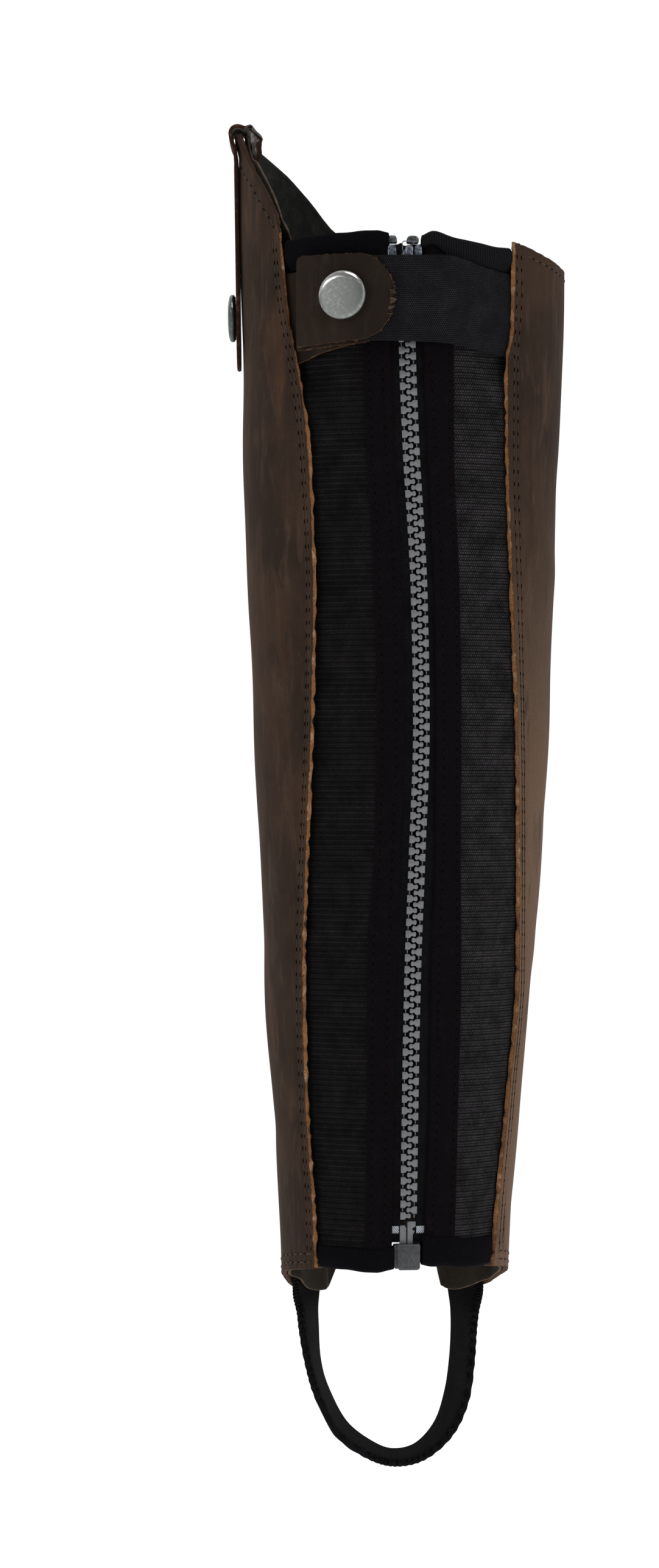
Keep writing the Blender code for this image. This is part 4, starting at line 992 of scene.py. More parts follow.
def binding(name, line, sign, left_x, right_x, reach_at, finish, node):
    """Tape folded over an edge of the back: an outer leg, a fold and an inner leg."""
    us = edge_dense(35, 2, 0.4, 0.8)
    leg = np.linspace(0, 1, 9)
    turns = np.linspace(0, pi, 11)[1:-1]
    count = len(leg) * 2 + len(turns)
    edge_z = read(FOLD, "x", line, 0.0)
    x = mix(left_x(edge_z), right_x(edge_z), us)
    fold_z = read(FOLD, "x", line, x) - sign * FOLD_ROOM
    foot_z = fold_z - sign * reach_at(x)
    z = np.empty((count, len(us)))
    out = np.empty((count, len(us)))
    rounded = 0.35 * np.sin(np.clip(leg, 0, 1) * pi)[:, None]
    z[:len(leg)] = mix(foot_z, fold_z, leg[:, None])
    out[:len(leg)] = BINDING_OUTER + rounded
    z[len(leg):-len(leg)] = fold_z + sign * fold_radius * np.sin(turns)[:, None]
    out[len(leg):-len(leg)] = fold_middle + fold_radius * np.cos(turns)[:, None]
    z[-len(leg):] = mix(fold_z, foot_z, leg[:, None])
    out[-len(leg):] = BINDING_INNER
    rng = np.random.default_rng(len(name))
    lumps = sum(np.sin(x * rng.uniform(0.15, 0.7) + rng.uniform(0, 6)) for _ in range(4)) * 0.1
    z = z + lumps * sign
    angle = angle_at(mix(left_x(z), right_x(z), us), z)
    half = BINDING / 2
    grid = on_leg(angle, z, out - sink(angle, z))
    run = run_along(grid[:, len(us) // 2])
    flat = np.stack(np.broadcast_arrays(x, run[:, None]), -1)
    if sign < 0:
        grid, flat = grid[::-1], flat[::-1]
    made = shell(name, grid + outward(grid) * half, flat, BINDING, (finish,) * 3, swell=0.4)
    return dress(made, [node])


def by_leather(name, shift):
    def at(z):
        return read(BACK, "z", name, z) + shift
    return at


def always(value):
    def at(place):
        return value + 0 * place
    return at


def top_reach_right(x):
    return mix(2.0, 6.3, ease((x - 9) / 12))


from_leather, to_leather = by_leather("leather_left", 0.6), by_leather("leather_right", -0.6)
for name, line, sign, left_x, right_x, reach_at, finish, node in (
        ("binding_top_left", "top", 1, from_leather, always(-5.4), always(9.0),
         plain_binding, "top_band_left"),
        ("binding_top_right", "top", 1, always(7.6), to_leather, top_reach_right,
         ribbed_binding, "top_band_right"),
        ("binding_hem_left", "bottom", -1, from_leather, always(-3.0), always(5.8),
         plain_binding, "hem_band_left"),
        ("binding_hem_right", "bottom", -1, always(8.2), to_leather, always(8.4),
         plain_binding, "hem_band_right")):
    binding(name, line, sign, left_x, right_x, reach_at, finish, node)

# ------------------------------
# Calf strap: black woven elastic, 31 mm wide, its threads in small even cells. It comes from
# under the right leather edge and ends between the two leathers of the tab.

GAP = 0.3
TAB_LEATHER = 1.4
BASE_TAB_FACE = 1.0
TAB_INNER_FACE = BASE_TAB_FACE + GAP + TAB_LEATHER
STRAP_THICK = 1.4
STRAP_FACE = TAB_INNER_FACE + GAP + STRAP_THICK
TAB_OUTER_FACE = STRAP_FACE + GAP + TAB_LEATHER
BURIED_FACE = -LEATHER - GAP
TAB_LEFT, TAB_ARC, TAB_TIP = -38.2, -16.0, -3.2
TAB_TOP, TAB_FOOT_LEFT, TAB_FOOT_ARC = 15.4, -17.4, -15.6
STRAP = table(
    "x top bottom",
    (-35, 14.6, -15.2),
    (4, 14.7, -16.0),
    (15, 14.9, -16.5),
    (22, 13.7, -17.4),
    (31, 11.5, -19.0),
    (50, 9.0, -20.4),
)

strap_weave = woven("woven strap elastic", "#0B0B0D", "#3A3A3D", (0.66, 0.7, 0.2), sheen=0.02)


def strap_grid():
    u, v = np.meshgrid(np.linspace(0, 1, 90), edge_dense(31, 1.5, 0.3, 1.2))
    z = np.zeros(u.shape)
    left = angle_at(TAB_LEFT + 3.0, 0.0, STRAP_FACE)
    for _ in range(3):
        angle = mix(left, line_angle("leather_right", z, 0.0, 8.0), u)
        x = on_leg(angle, z)[..., 0]
        z = mix(read(STRAP, "x", "bottom", x), read(STRAP, "x", "top", x), v)
    crown = 0.25 * np.sin(pi * v) ** 0.6
    out = mix(STRAP_FACE, BURIED_FACE, ease((angle - 8) / 31)) + crown - 0.25
    return on_leg(angle, z, out), laid_flat(angle, z)


strap_points, strap_flat = strap_grid()
strap = shell("woven_calf_strap", strap_points, strap_flat, STRAP_THICK, (strap_weave,) * 3, swell=0.25)
dress(strap, ["calf_strap"])

# ------------------------------
# Tabs: two D-shaped pieces of the same nubuck with the strap between them, and a longer base
# tab that comes out from under the left leather edge and carries the stud's other half.

tab_nubuck = nubuck("tab nubuck", "#1E1813", "#28201A", "#352B23", "#2E2319")
tab_edge = raw_edge("cut edge of the tabs", "#20130B", "#3E2718", "#4A3628", "#8A6A4C", 0.25)


def tab_grid(face, drop):
    """The D shape: straight to the arc's start, then round its tip."""
    straight = np.linspace(0, 1, 26)
    turn = np.radians(np.linspace(0, 87, 26)[1:])
    x = np.concatenate([mix(TAB_LEFT, TAB_ARC, straight), TAB_ARC + (TAB_TIP - TAB_ARC) * np.sin(turn)])
    middle, half = (TAB_TOP + TAB_FOOT_ARC) / 2, (TAB_TOP - TAB_FOOT_ARC) / 2
    top = np.concatenate([np.full(26, TAB_TOP), middle + half * np.cos(turn)])
    foot = np.concatenate([mix(TAB_FOOT_LEFT, TAB_FOOT_ARC, straight), middle - half * np.cos(turn)])
    corner = 1.4 * np.clip(1 - (x - TAB_LEFT) / 1.8, 0, 1) ** 2
    v = edge_dense(32, 1.5, 0.4, 1.3)[:, None]
    z = mix(foot, top - corner, v) - drop
    bow = 0.25 * np.sin(v * pi) * np.ones_like(x)
    angle = angle_at(np.broadcast_to(x, z.shape), z, face)
    grid = on_leg(angle, z, face + bow - 0.25)
    grid = grid + np.random.default_rng(int(face * 10)).normal(0, 0.05, grid.shape)
    return grid, np.stack([np.broadcast_to(x, z.shape), z], -1)


def tab(name, face, drop, node):
    grid, flat = tab_grid(face, drop)
    made = shell(name, grid, flat, TAB_LEATHER, (tab_nubuck, flesh_side, tab_edge))
    return dress(made, [node])


tab("leather_tab_inner", TAB_INNER_FACE, 0.9, "tab_inner")
tab("leather_tab_outer", TAB_OUTER_FACE, 0.0, "tab_outer")

BASE_TAB = 1.6
BASE_TAB_FOOT = (-24.6, -14.6)  # heights of its lower edge, at its left and right ends
BASE_TAB_TOP = (10.4, 12.4)
u, v = np.meshgrid(np.linspace(0, 1, 50), edge_dense(30, 1.5, 0.5, 1.4))
base_angle = mix(line_angle("leather_left", -6.0, 0.0, -8.0), angle_at(-9.0, -6.0), u)
base_z = mix(mix(*BASE_TAB_FOOT, u), mix(*BASE_TAB_TOP, u), v)
past_edge = base_angle - line_angle("leather_left", base_z)
base_grid = on_leg(base_angle, base_z, mix(BURIED_FACE, BASE_TAB_FACE, ease((past_edge - 2.5) / 10)))
base_tab = shell("leather_base_tab", base_grid, laid_flat(base_angle, base_z), BASE_TAB,
                 (tab_nubuck, flesh_side, tab_edge))
dress(base_tab, ["base_tab"])

# ------------------------------
# Press studs: drawn nickel-plated brass caps, 17.7 mm across. The edge is rolled and bright,
# the middle has been struck and scratched dull.

CAP_RADIUS = 8.85
CAP_HEIGHT = 3.0


def struck_nickel(name, bright, struck):
    """Nickel plate: a warm grey mirror, clouded with fine dents in the middle of the cap.

    The dull patch sits a little below the cap's centre, so the upper third stays bright.
    """
    made, tree = new_finish(name, {"Metallic": 1.0})
    flat = add(tree, "ShaderNodeUVMap")
    low = add(tree, "ShaderNodeMapping", {"Vector": flat, "Location": (-0.6, 2.9, 0)})
    radius = add(tree, "ShaderNodeVectorMath", {0: low}, "Value", operation="LENGTH")
    brushed_way = add(tree, "ShaderNodeMapping", {
        "Vector": flat, "Rotation": (0, 0, 0.7), "Scale": (0.25, 1.6, 1)})
    cloud, grain, brushing = (
        add(tree, "ShaderNodeTexNoise", {
            "Vector": place, "Scale": 1 / size, "Detail": detail, "Roughness": rough})
        for place, size, detail, rough in (
            (flat, 1.6, 5, 0.7), (flat, 0.35, 3, 0.7), (brushed_way, 0.8, 3, 0.6)))
    middle = add(tree, "ShaderNodeMath", {0: cloud, 1: 1.2, 2: radius}, operation="MULTIPLY_ADD")
    middle = add(tree, "ShaderNodeMath", {0: middle, 1: 12.0}, operation="DIVIDE")
    dull = add(tree, "ShaderNodeValToRGB", {0: middle}, stops=((0.79, 1.0), (0.85, 0.0)))
    mark = add(tree, "ShaderNodeMath", {0: dull, 1: cloud}, operation="MULTIPLY")
    base = painted(
        tree, bright, (brushing, ((0.4, 0.0), (0.7, 0.5)), struck), (mark, ((0.05, 0.0), (0.5, 1.0)), struck))
    rough = add(tree, "ShaderNodeMath", {0: mark, 1: 0.6, 2: 0.16}, operation="MULTIPLY_ADD")
    tree.links.new(rough, tree.nodes["Principled BSDF"].inputs["Roughness"])
    dents = add(tree, "ShaderNodeMath", {0: grain, 1: dull}, operation="MULTIPLY")
    return finished(made, base, (dents, 0.08, 0.6))


nickel = struck_nickel("struck nickel plate", "#CFCECA", "#7A7D79")
dull_nickel = struck_nickel("dulled nickel plate", "#7E8680", "#4C5551")


def turned(name, profile, place, material, steps=72):
    """A turned piece from its profile of (radius, height) in millimetres, closed at the axis."""
    profile = np.array(profile)
    turn = np.linspace(0, 2 * pi, steps, endpoint=False)
    rings = [np.stack([r * np.cos(turn), r * np.sin(turn), np.full(steps, h)], -1) for r, h in profile]
    points = np.concatenate(rings)
    bm = bmesh.new()
    verts = [bm.verts.new(place @ Vector(p * MM)) for p in points]
    layer = bm.loops.layers.uv.new("UVMap")
    for k in range(len(profile) - 1):
        for j in range(steps):
            after = (j + 1) % steps
            corners = (k * steps + j, (k + 1) * steps + j, (k + 1) * steps + after, k * steps + after)
            face = bm.faces.new([verts[c] for c in corners])
            for loop, c in zip(face.loops, corners):
                loop[layer].uv = points[c][:2]
    bmesh.ops.remove_doubles(bm, verts=bm.verts, dist=1e-6)
    bmesh.ops.dissolve_degenerate(bm, dist=1e-7, edges=bm.edges)
    bmesh.ops.recalc_face_normals(bm, faces=bm.faces)
    return add_object(name, smooth_mesh(name, bm), (material,))


def facing_out(angle, z, out):
    """Axes at a place on the leg with Z straight out of it."""
    here, up, along = (Vector(on_leg(angle + a, z + b, out)) for a, b in ((0, 0), (0, 1), (1, 0)))
    up, along = (up - here).normalized(), (along - here).normalized()
    outward = along.cross(up).normalized()
    turn = Matrix((along, outward.cross(along), outward)).transposed().to_4x4()
    return Matrix.Translation(here * MM) @ turn


dome = [(r * CAP_RADIUS * 0.93, CAP_HEIGHT * (1 - 0.16 * r ** 2 - 0.10 * r ** 8))
        for r in np.linspace(0.0001, 1, 16)]
rolled = [(CAP_RADIUS - 0.75 + 0.75 * np.cos(a), 1.25 + 0.95 * np.sin(a)) for a in np.linspace(1.35, -1.5, 9)]
cap_profile = [*dome, *rolled, (0.9 * CAP_RADIUS, 0.0), (0.0001, 0.0)]
cap_out = TAB_OUTER_FACE + GAP
cap_seat = facing_out(angle_at(-21.2, 0.3, cap_out), 0.3, cap_out)
cap = turned("stud_cap", cap_profile, cap_seat, nickel)
dress(cap, ["snap_cap"])
peak_cap = turned("peak_stud_cap", cap_profile, facing_out(270.0, -1.4, 2 * GAP + 1.4), dull_nickel)
dress(peak_cap, ["peak_snap_cap"])

# ------------------------------
# Peak strap: a leather strap that hangs flat down the outer side with a stud near its round
# foot, loops over the peak's tip, and ends inside, its rough grey flesh side crumpled.

PEAK_THICK = 1.4
PEAK_FOOT = -20.7
PEAK_HALF = 11.5
PEAK_ROUND = 9.0
PEAK_LOOP = table(  # hug is 0 where the strap is flat and 1 where it follows the lining
    "step out z flare hug",
    (0, 0.95, 55.0, 0.0, 0.0),
    (1, 1.2, 60.0, 0.0, 0.0),
    (2, 2.3, 63.2, 0.0, 0.0),
    (3, 2.9, 66.2, 0.0, 0.0),
    (4, 2.1, 68.2, 0.0, 0.0),
    (5, 0.3, 68.9, 0.0, 0.0),
    (6, -1.7, 68.4, 0.0, 0.0),
    (7, -3.2, 67.2, 3.0, 0.5),
    (8, -3.6, 65.0, 5.5, 0.9),
    (9, -4.0, 60.0, 7.0, 1.0),
    (10, -4.0, 53.0, 5.0, 1.0),
)

# The strap's cut edge is coloured near black: painted shade over the red-brown of the cut leather.
peak_edge_painted_shade = raw_edge("cut edge in painted shade", "#120A08", "#2E1811", "#2A1710", "#8A6A55", 0.2)
grey_flesh = split_suede("rough grey flesh side", "#4E4A46", "#B5B0AB", crevice=0.4)

foot_turn = np.radians(np.linspace(84, 0, 12))
leg_z = np.linspace(PEAK_FOOT + PEAK_ROUND, 55.0, 40)[1:-1]
loop_step = np.linspace(0, 10, 71)
loop_out, loop_z, loop_flare, loop_hug = (
    read(PEAK_LOOP, "step", key, loop_step) for key in ("out", "z", "flare", "hug"))
still = np.zeros(len(foot_turn) + len(leg_z))
strap_z = np.concatenate([PEAK_FOOT + PEAK_ROUND * (1 - np.sin(foot_turn)), leg_z, loop_z])[:, None]
strap_out_at = np.concatenate([still + GAP + PEAK_THICK / 2, loop_out])[:, None]
flare = np.concatenate([still, loop_flare])[:, None]
hug = np.concatenate([still, loop_hug])[:, None]
narrowing = np.ones(len(strap_z))
narrowing[:len(foot_turn)] = mix(np.cos(foot_turn), 1, 0.25)
across = np.linspace(1, -1, 45)
peak_y = across * PEAK_HALF * narrowing[:, None] - flare * ease(-across * 2 - 0.6)
_, _, leg_half_x, leg_half_y = leg_at(strap_z)
peak_line = on_leg(270.0, strap_z, strap_out_at)
round_off = 1 - np.sqrt(1 - (peak_y / (leg_half_y + strap_out_at)) ** 2)
# The inner end's near side is crushed: upright pleats that fan out towards the eye
crushed = hug * ease(-across * 2.2 - 0.7)
pleat = np.sin(across * 34 + np.sin(strap_z * 0.35) * 1.3) * 0.9 + np.sin(strap_z * 1.15 + across * 9) * 0.45
lean_in = crushed * (pleat * 0.75 + 0.9 * ease((strap_z - 54) / 10))
peak_x = peak_line[..., 0] + (leg_half_x + strap_out_at) * round_off * hug + lean_in
peak_grid = np.stack(np.broadcast_arrays(
    peak_x, peak_line[..., 1] + peak_y, strap_z + crushed * np.sin(across * 21) * 0.7), -1)
peak_flat = np.stack(np.broadcast_arrays(peak_y, run_along(peak_grid[:, 9])[:, None]), -1)
peak_strap = shell("folded_peak_strap", peak_grid + outward(peak_grid) * PEAK_THICK / 2, peak_flat,
                   PEAK_THICK, (tab_nubuck, grey_flesh, peak_edge_painted_shade), swell=0.25)
dress(peak_strap, ["peak_strap"])

# ------------------------------
# Stirrup: flat black elastic, 20 mm wide, that goes under the boot. Its near edge is corded
# and slants like a twill. Both ends are sewn in between the leather and the lining.

STIRRUP = table(
    "x_near z_near x_far z_far y_near y_far",
    (-37.6, -370, -31.6, -370, 11.8, 29.4),
    (-36.4, -381, -31.4, -381, 12.2, 30.0),
    (-34.0, -394, -30.6, -394, 12.8, 31.0),
    (-30.4, -406, -27.6, -405, 13.4, 32.2),
    (-22.9, -420, -20.4, -418.6, 14.0, 33.4),
    (-11.2, -428.2, -10.0, -426.8, 14.4, 34.2),
    (-1.2, -431.0, -1.6, -429.6, 15.0, 34.8),
    (9.6, -428.6, 7.4, -427.2, 15.8, 35.2),
    (19.6, -420, 14.9, -418.6, 17.0, 35.6),
    (25.4, -408, 18.8, -406.6, 18.8, 36.0),
    (27.6, -394, 20.6, -394, 20.4, 36.4),
    (28.6, -381, 21.2, -381, 21.6, 36.8),
    (30.0, -370, 20.6, -370, 22.2, 37.0),
)
POCKET = (-351.5, -357.0, -362.5)

stirrup_weave = woven("twilled stirrup elastic", "#060607", "#2A2A2D", (1.1, 0.7, 0.2), sheen=0.02)


def stirrup_edge(side):
    """Points along the near or far edge, from one sewn end to the other."""
    out = LINING_FACE - STIRRUP_THICK / 2
    ends = [[on_leg(end[side], z, out) for z in POCKET] for end in STIRRUP_ENDS]
    name = ("near", "far")[side]
    free = np.stack([STIRRUP["x_" + name], STIRRUP["y_" + name], STIRRUP["z_" + name]], -1)
    return np.concatenate([ends[0], free, ends[1][::-1]])


def through(points, t):
    """A smooth curve through points, read at places counted in points."""
    k = np.clip(t.astype(int), 0, len(points) - 2)
    f = (t - k)[:, None]
    p = [points[np.clip(k + j, 0, len(points) - 1)] for j in (-1, 0, 1, 2)]
    return 0.5 * (2 * p[1] + (p[2] - p[0]) * f + (2 * p[0] - 5 * p[1] + 4 * p[2] - p[3]) * f ** 2
                  + (3 * p[1] - p[0] - 3 * p[2] + p[3]) * f ** 3)


near_edge, far_edge = (stirrup_edge(side) for side in (0, 1))
stops = np.linspace(0, len(near_edge) - 1, 260)
near_line, far_line = through(near_edge, stops), through(far_edge, stops)
stirrup_v = edge_dense(20, 3, 0.3, 1.5)
stirrup_grid = near_line[:, None] + (far_line - near_line)[:, None] * stirrup_v[:, None]
stirrup_cx, stirrup_cy, stirrup_hx, stirrup_hy = leg_at(stirrup_grid[..., 2])
stirrup_angle = np.degrees(np.arctan2((stirrup_grid[..., 0] - stirrup_cx) / stirrup_hx,
                                      -(stirrup_grid[..., 1] - stirrup_cy) / stirrup_hy))
hugging = on_leg(stirrup_angle, stirrup_grid[..., 2], LINING_FACE - STIRRUP_THICK / 2)
inside = np.maximum(ease(len(POCKET) + 0.5 - stops), ease(stops - len(near_edge) + 1 + len(POCKET) + 0.5))
stirrup_grid = mix(stirrup_grid, hugging, inside[:, None, None])
STIRRUP_WIDE = 20.0
CORD_RIB, CORD_PITCH = 0.14, 1.2  # the near edge's slanting ribs
CORD_WIDE, CORD_FADE = 2.2, 0.8
stirrup_run = run_along(near_line)
slanted = stirrup_run[:, None] + 18 * stirrup_v * 0.6
cord_ribs = CORD_RIB * np.cos(2 * pi * slanted / CORD_PITCH)
cord_ribs = cord_ribs * (1 - ease((stirrup_v * STIRRUP_WIDE - CORD_WIDE) / CORD_FADE))
stirrup_half = STIRRUP_THICK / 2
stirrup_flat = np.stack(np.broadcast_arrays(stirrup_v * STIRRUP_WIDE, stirrup_run[:, None]), -1)
stirrup_outer = stirrup_grid + outward(stirrup_grid) * (stirrup_half + cord_ribs)[..., None]
stirrup = shell("elastic_stirrup", stirrup_outer, stirrup_flat, STIRRUP_THICK, (stirrup_weave,) * 3, swell=0.2)
dress(stirrup, ["stirrup_elastic"])

# ------------------------------
# Zip slider and pull: die-cast zinc, lacquered blue grey. The slider stands at the top under
# two bent wire stops, and its pull hangs behind the calf strap.

SLIDER_X = 1.0
SLIDER_LOW, SLIDER_HIGH = 4.6, 19.4
PULL_AXIS_Z = 11.2
chain_middle = CHAIN_FACE - CHAIN_DEPTH / 2


def seat(x, z, out):
    """Axes on the back at a place: X along the surface, Y inwards, Z up it."""
    turn = facing_out(angle_at(x, z), z, out)
    along, up, outward = (turn.col[k].to_3d() for k in range(3))
    return Matrix.Translation(turn.translation) @ Matrix((along, -outward, up)).transposed().to_4x4()


def lacquer(name, base, light):
    """Lacquered zinc: a smooth blue-grey skin over faint casting lumps, paler on the lumps."""
    made, tree = new_finish(name, {"Metallic": 0.75, "Roughness": 0.36})
    here = add(tree, "ShaderNodeTexCoord", out="Object")
    lumps, grain = (
        add(tree, "ShaderNodeTexNoise", {
            "Vector": here, "Scale": 1 / (size * MM), "Detail": detail, "Roughness": 0.6})
        for size, detail in ((1.0, 4), (0.2, 2)))
    shade = painted(tree, base, (lumps, ((0.4, 0.0), (0.65, 1.0)), light))
    return finished(made, shade, (lumps, 0.05, 0.4), (grain, 0.02, 0.5))


zinc = lacquer("lacquered zinc", "#4C525B", "#8A919B")
dark_zinc = lacquer("dark lacquered zinc", "#3C3F42", "#717577")
# Near-black zinc for the slider's core: painted shade.
painted_shade_zinc = lacquer("zinc in painted shade inside the slider", "#07080A", "#121416")

slider_middle = (SLIDER_LOW + SLIDER_HIGH) / 2
slider_seat = seat(SLIDER_X, slider_middle, 0.0)
foot, head = SLIDER_LOW - slider_middle, SLIDER_HIGH - slider_middle
SHIELD = (  # the slider's front plate: two shoulders, a deep gap between, and sides that draw in
    (-4.3, foot), (4.3, foot), (4.7, foot + 4), (6.0, head - 5.0), (6.2, head - 2.6), (6.1, head - 0.9),
    (5.2, head - 0.15), (4.1, head - 0.2), (3.4, head - 1.4), (3.2, head - 4.6), (-2.9, head - 4.6),
    (-3.1, head - 1.4), (-3.7, head - 0.2), (-5.0, head), (-6.2, head - 0.8), (-6.4, head - 2.4),
    (-6.1, head - 5.0), (-4.7, foot + 4),
)
BACK_PLATE = (
    (-4.3, foot), (4.3, foot), (4.7, foot + 4), (5.2, head - 4), (5.0, head - 1.6), (-5.0, head - 1.6),
    (-5.2, head - 4), (-4.7, foot + 4),
)


def at_depth(place, front):
    """The same axes, moved so that a plate's back lies this deep."""
    return place @ Matrix.Translation((0, front * MM, 0))


CORE = (  # a near-black plate in the gap between the shoulders: painted shade in the slider's hollow
    (-3.2, head - 4.4), (3.3, head - 4.4), (3.3, head - 0.6), (-0.9, head - 0.2), (-1.0, head + 0.7),
    (-1.7, head + 0.65), (-2.5, head + 0.2), (-3.2, head - 0.4),
)
LOCK_WIRE = (  # the spring wire: up on the left, across, and down behind the right shoulder
    (-1.0, head - 5), (-0.72, head - 5), (-0.72, head + 0.25), (-0.5, head + 0.5), (2.05, head + 0.52),
    (2.5, head + 0.2), (3.0, head - 0.55), (3.25, head - 0.4), (2.7, head + 0.45), (2.15, head + 0.8),
    (-0.6, head + 0.8), (-1.0, head + 0.4),
)
BRIDGE = (
    (0.1, foot + 2.2), (2.7, foot + 2.2), (2.9, head - 1.8), (2.3, head - 0.9), (0.7, head - 0.9),
    (0.1, head - 1.8),
)
WEDGE = ((-1.5, head - 6), (1.5, head - 6), (1.2, head - 3.2), (-1.2, head - 3.2))
UPPER_POST = ((-0.8, head - 6), (2.5, head - 6), (2.5, head - 0.8), (-0.8, head - 2.8))
LOWER_POST = ((-1.2, foot + 2.5), (1.2, foot + 2.5), (1.2, foot + 4.2), (-1.2, foot + 4.2))
slider = joined("zip_slider_body", [
    (prism("front", SHIELD, 1.2, 0.4), at_depth(slider_seat, 2.3)),
    (prism("rear", BACK_PLATE, 1.2, 0.4), at_depth(slider_seat, 7.1)),
    (prism("wedge", WEDGE, 4.4, 0.3), at_depth(slider_seat, 6.6)),
    (prism("post", UPPER_POST, 3.4, 0.5), at_depth(slider_seat, 1.4)),
    (prism("foot", LOWER_POST, 3.2, 0.4), at_depth(slider_seat, 1.4)),
    (prism("bridge", BRIDGE, 0.9, 0.35), at_depth(slider_seat, -1.55)),
    (prism("wire", LOCK_WIRE, 0.6, 0.1), at_depth(slider_seat, -0.6)),
], zinc)
dress(slider, ["zip_slider"])
# The core stands for the shade in the slider's hollow: a plate of painted shade.
core = joined("zip_slider_core", [(prism("core", CORE, 3.0, 0.2), at_depth(slider_seat, 5.6))], painted_shade_zinc)
dress(core, [])

for name, x, z, width, node in (
        ("zip_stop_left", -3.75, 21.25, 3.2, "zip_top_stop_left"),
        ("zip_stop_right", 4.0, 21.1, 4.3, "zip_top_stop_right")):
    half = width / 2
    arch = (
        (-half, -1.3), (half, -1.3), (half, 0.5), (half * 0.72, 1.2), (0.2, 1.5), (-half * 0.7, 1.3),
        (-half, 0.5))
    stop = joined(name, [(prism("stop", arch, 3.2, 0.5), at_depth(seat(x, z, chain_middle), 1.6))], dark_zinc)
    dress(stop, [node])

pull_seat = seat(SLIDER_X, PULL_AXIS_Z, 0.0)
PULL_OUTLINE = (
    (-3.4, 1.0), (-2.4, 1.4), (2.4, 1.4), (3.4, 1.0), (3.4, -9.0), (2.6, -21.5), (1.4, -23.7),
    (-1.4, -23.7), (-2.6, -21.5), (-3.4, -9.0),
)
pull_mesh = prism("pull", PULL_OUTLINE, 1.3, 0.3)
pull = joined("zip_pull", [(pull_mesh, at_depth(pull_seat, 0.7))], zinc)
eye_mesh = prism("eye", [(-1.9, -1.4), (1.9, -1.4), (1.9, -5.9), (-1.9, -5.9)], 5.0, 0.0)
eye = joined("eye", [(eye_mesh, at_depth(pull_seat, 2.5))], zinc)
cut = pull.modifiers.new("Eye", "BOOLEAN")
cut.operation = "DIFFERENCE"
cut.object = eye
depsgraph = bpy.context.evaluated_depsgraph_get()
cut_mesh = bpy.data.meshes.new_from_object(pull.evaluated_get(depsgraph), depsgraph=depsgraph)
pull.modifiers.clear()
pull.data = cut_mesh
bpy.data.objects.remove(eye)
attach(pull, "zip_pull")
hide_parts("zip_pull_tab")

# ------------------------------
# Open end of the zip: two moulded pins in a moulded box, with a clear woven film over the
# tapes' ends that frays white.

box_plastic = moulded("moulded acetal box", "#2E2F32", "#58595C", 0.5)
PINS = (  # name, X, node and outline: the left one is a plain blade, the right one is notched
    ("pin_left", 0.8, "zip_pin_left",
     ((-1.2, -4.4), (1.1, -4.4), (1.1, 1.8), (0.6, 2.6), (-0.9, 2.6), (-1.2, 2.2))),
    ("pin_right", 4.1, "zip_pin_right",
     ((-1.5, -4.4), (0.5, -4.4), (0.5, -0.8), (1.3, 0.4), (0.3, 1.0), (0.4, 1.6), (1.5, 2.0), (1.5, 4.0),
      (-1.2, 4.0), (-1.5, 3.6))),
)
for name, x, node, blade in PINS:
    shape = prism(name, blade, 2.4, 0.25)
    pin = joined(name, [(shape, at_depth(seat(x, -338.2, chain_middle), 1.2))], tooth_plastic)
    dress(pin, [node])

box_seat = seat(2.4, -346.95, chain_middle)
BOX_FRONT = (
    (-3.0, -4.8), (3.7, -4.8), (4.5, -4.2), (4.6, 4.3), (4.2, 4.7), (-3.7, 4.7), (-3.8, 4.3), (-3.6, -4.2),
)
BOX_LIP = ((-3.7, 3.9), (4.5, 3.9), (4.2, 4.75), (-3.6, 4.75))
BOX_BODY = (
    (-4.5, -4.4), (4.3, -4.4), (4.6, -4.0), (4.6, 4.1), (4.2, 4.5), (-4.6, 4.3), (-4.9, 3.9), (-4.9, -3.8),
)
box = joined("zip_end_box", [
    (prism("body", BOX_BODY, 4.4, 0.5, 3), at_depth(box_seat, 2.5)),
    (prism("front", BOX_FRONT, 1.4, 0.6, 3), at_depth(box_seat, -1.6)),
    (prism("lip", BOX_LIP, 0.5, 0.2, 2), at_depth(box_seat, -2.7)),
], box_plastic)
dress(box, ["zip_box"])

# ------------------------------
# Stitching: brown waxed thread on the leather and black thread on the cloth. Each stitch is a
# short thick loop, and a near-black bead between loops is the painted shade of a needle hole.

stitch_tree, given, result = new_tree("Stitches along seams", {
    "Pitch": "Float", "Length": "Float", "Width": "Float", "Height": "Float", "Thread": "Material",
    "Hole": "Material", "Hole Length": "Float"})
halves = {
    key: add(stitch_tree, "ShaderNodeMath", {0: given[key], 1: 2.0}, operation="DIVIDE")
    for key in ("Pitch", "Length", "Width", "Height", "Hole Length")}
joining = stitch_tree.nodes.new("GeometryNodeJoinGeometry")
for start, long, material in ((halves["Pitch"], "Length", "Thread"), (given["Pitch"], "Hole Length", "Hole")):
    places, facing = placed_along(stitch_tree, given["Geometry"], start, given["Pitch"])
    bead = add(stitch_tree, "GeometryNodeMeshUVSphere", {"Segments": 8, "Rings": 6})
    bead = add(stitch_tree, "GeometryNodeSetShadeSmooth", {0: bead})
    size = add(stitch_tree, "ShaderNodeCombineXYZ", {
        0: halves[long], 1: halves["Width"], 2: halves["Height"]})
    beads = add(stitch_tree, "GeometryNodeInstanceOnPoints", {
        "Points": places, "Instance": bead, "Rotation": facing, "Scale": size})
    beads = add(stitch_tree, "GeometryNodeRealizeInstances", {0: beads})
    beads = add(stitch_tree, "GeometryNodeSetMaterial", {"Geometry": beads, "Material": given[material]})
    stitch_tree.links.new(beads, joining.inputs[0])
stitch_tree.links.new(joining.outputs[0], result.inputs[0])


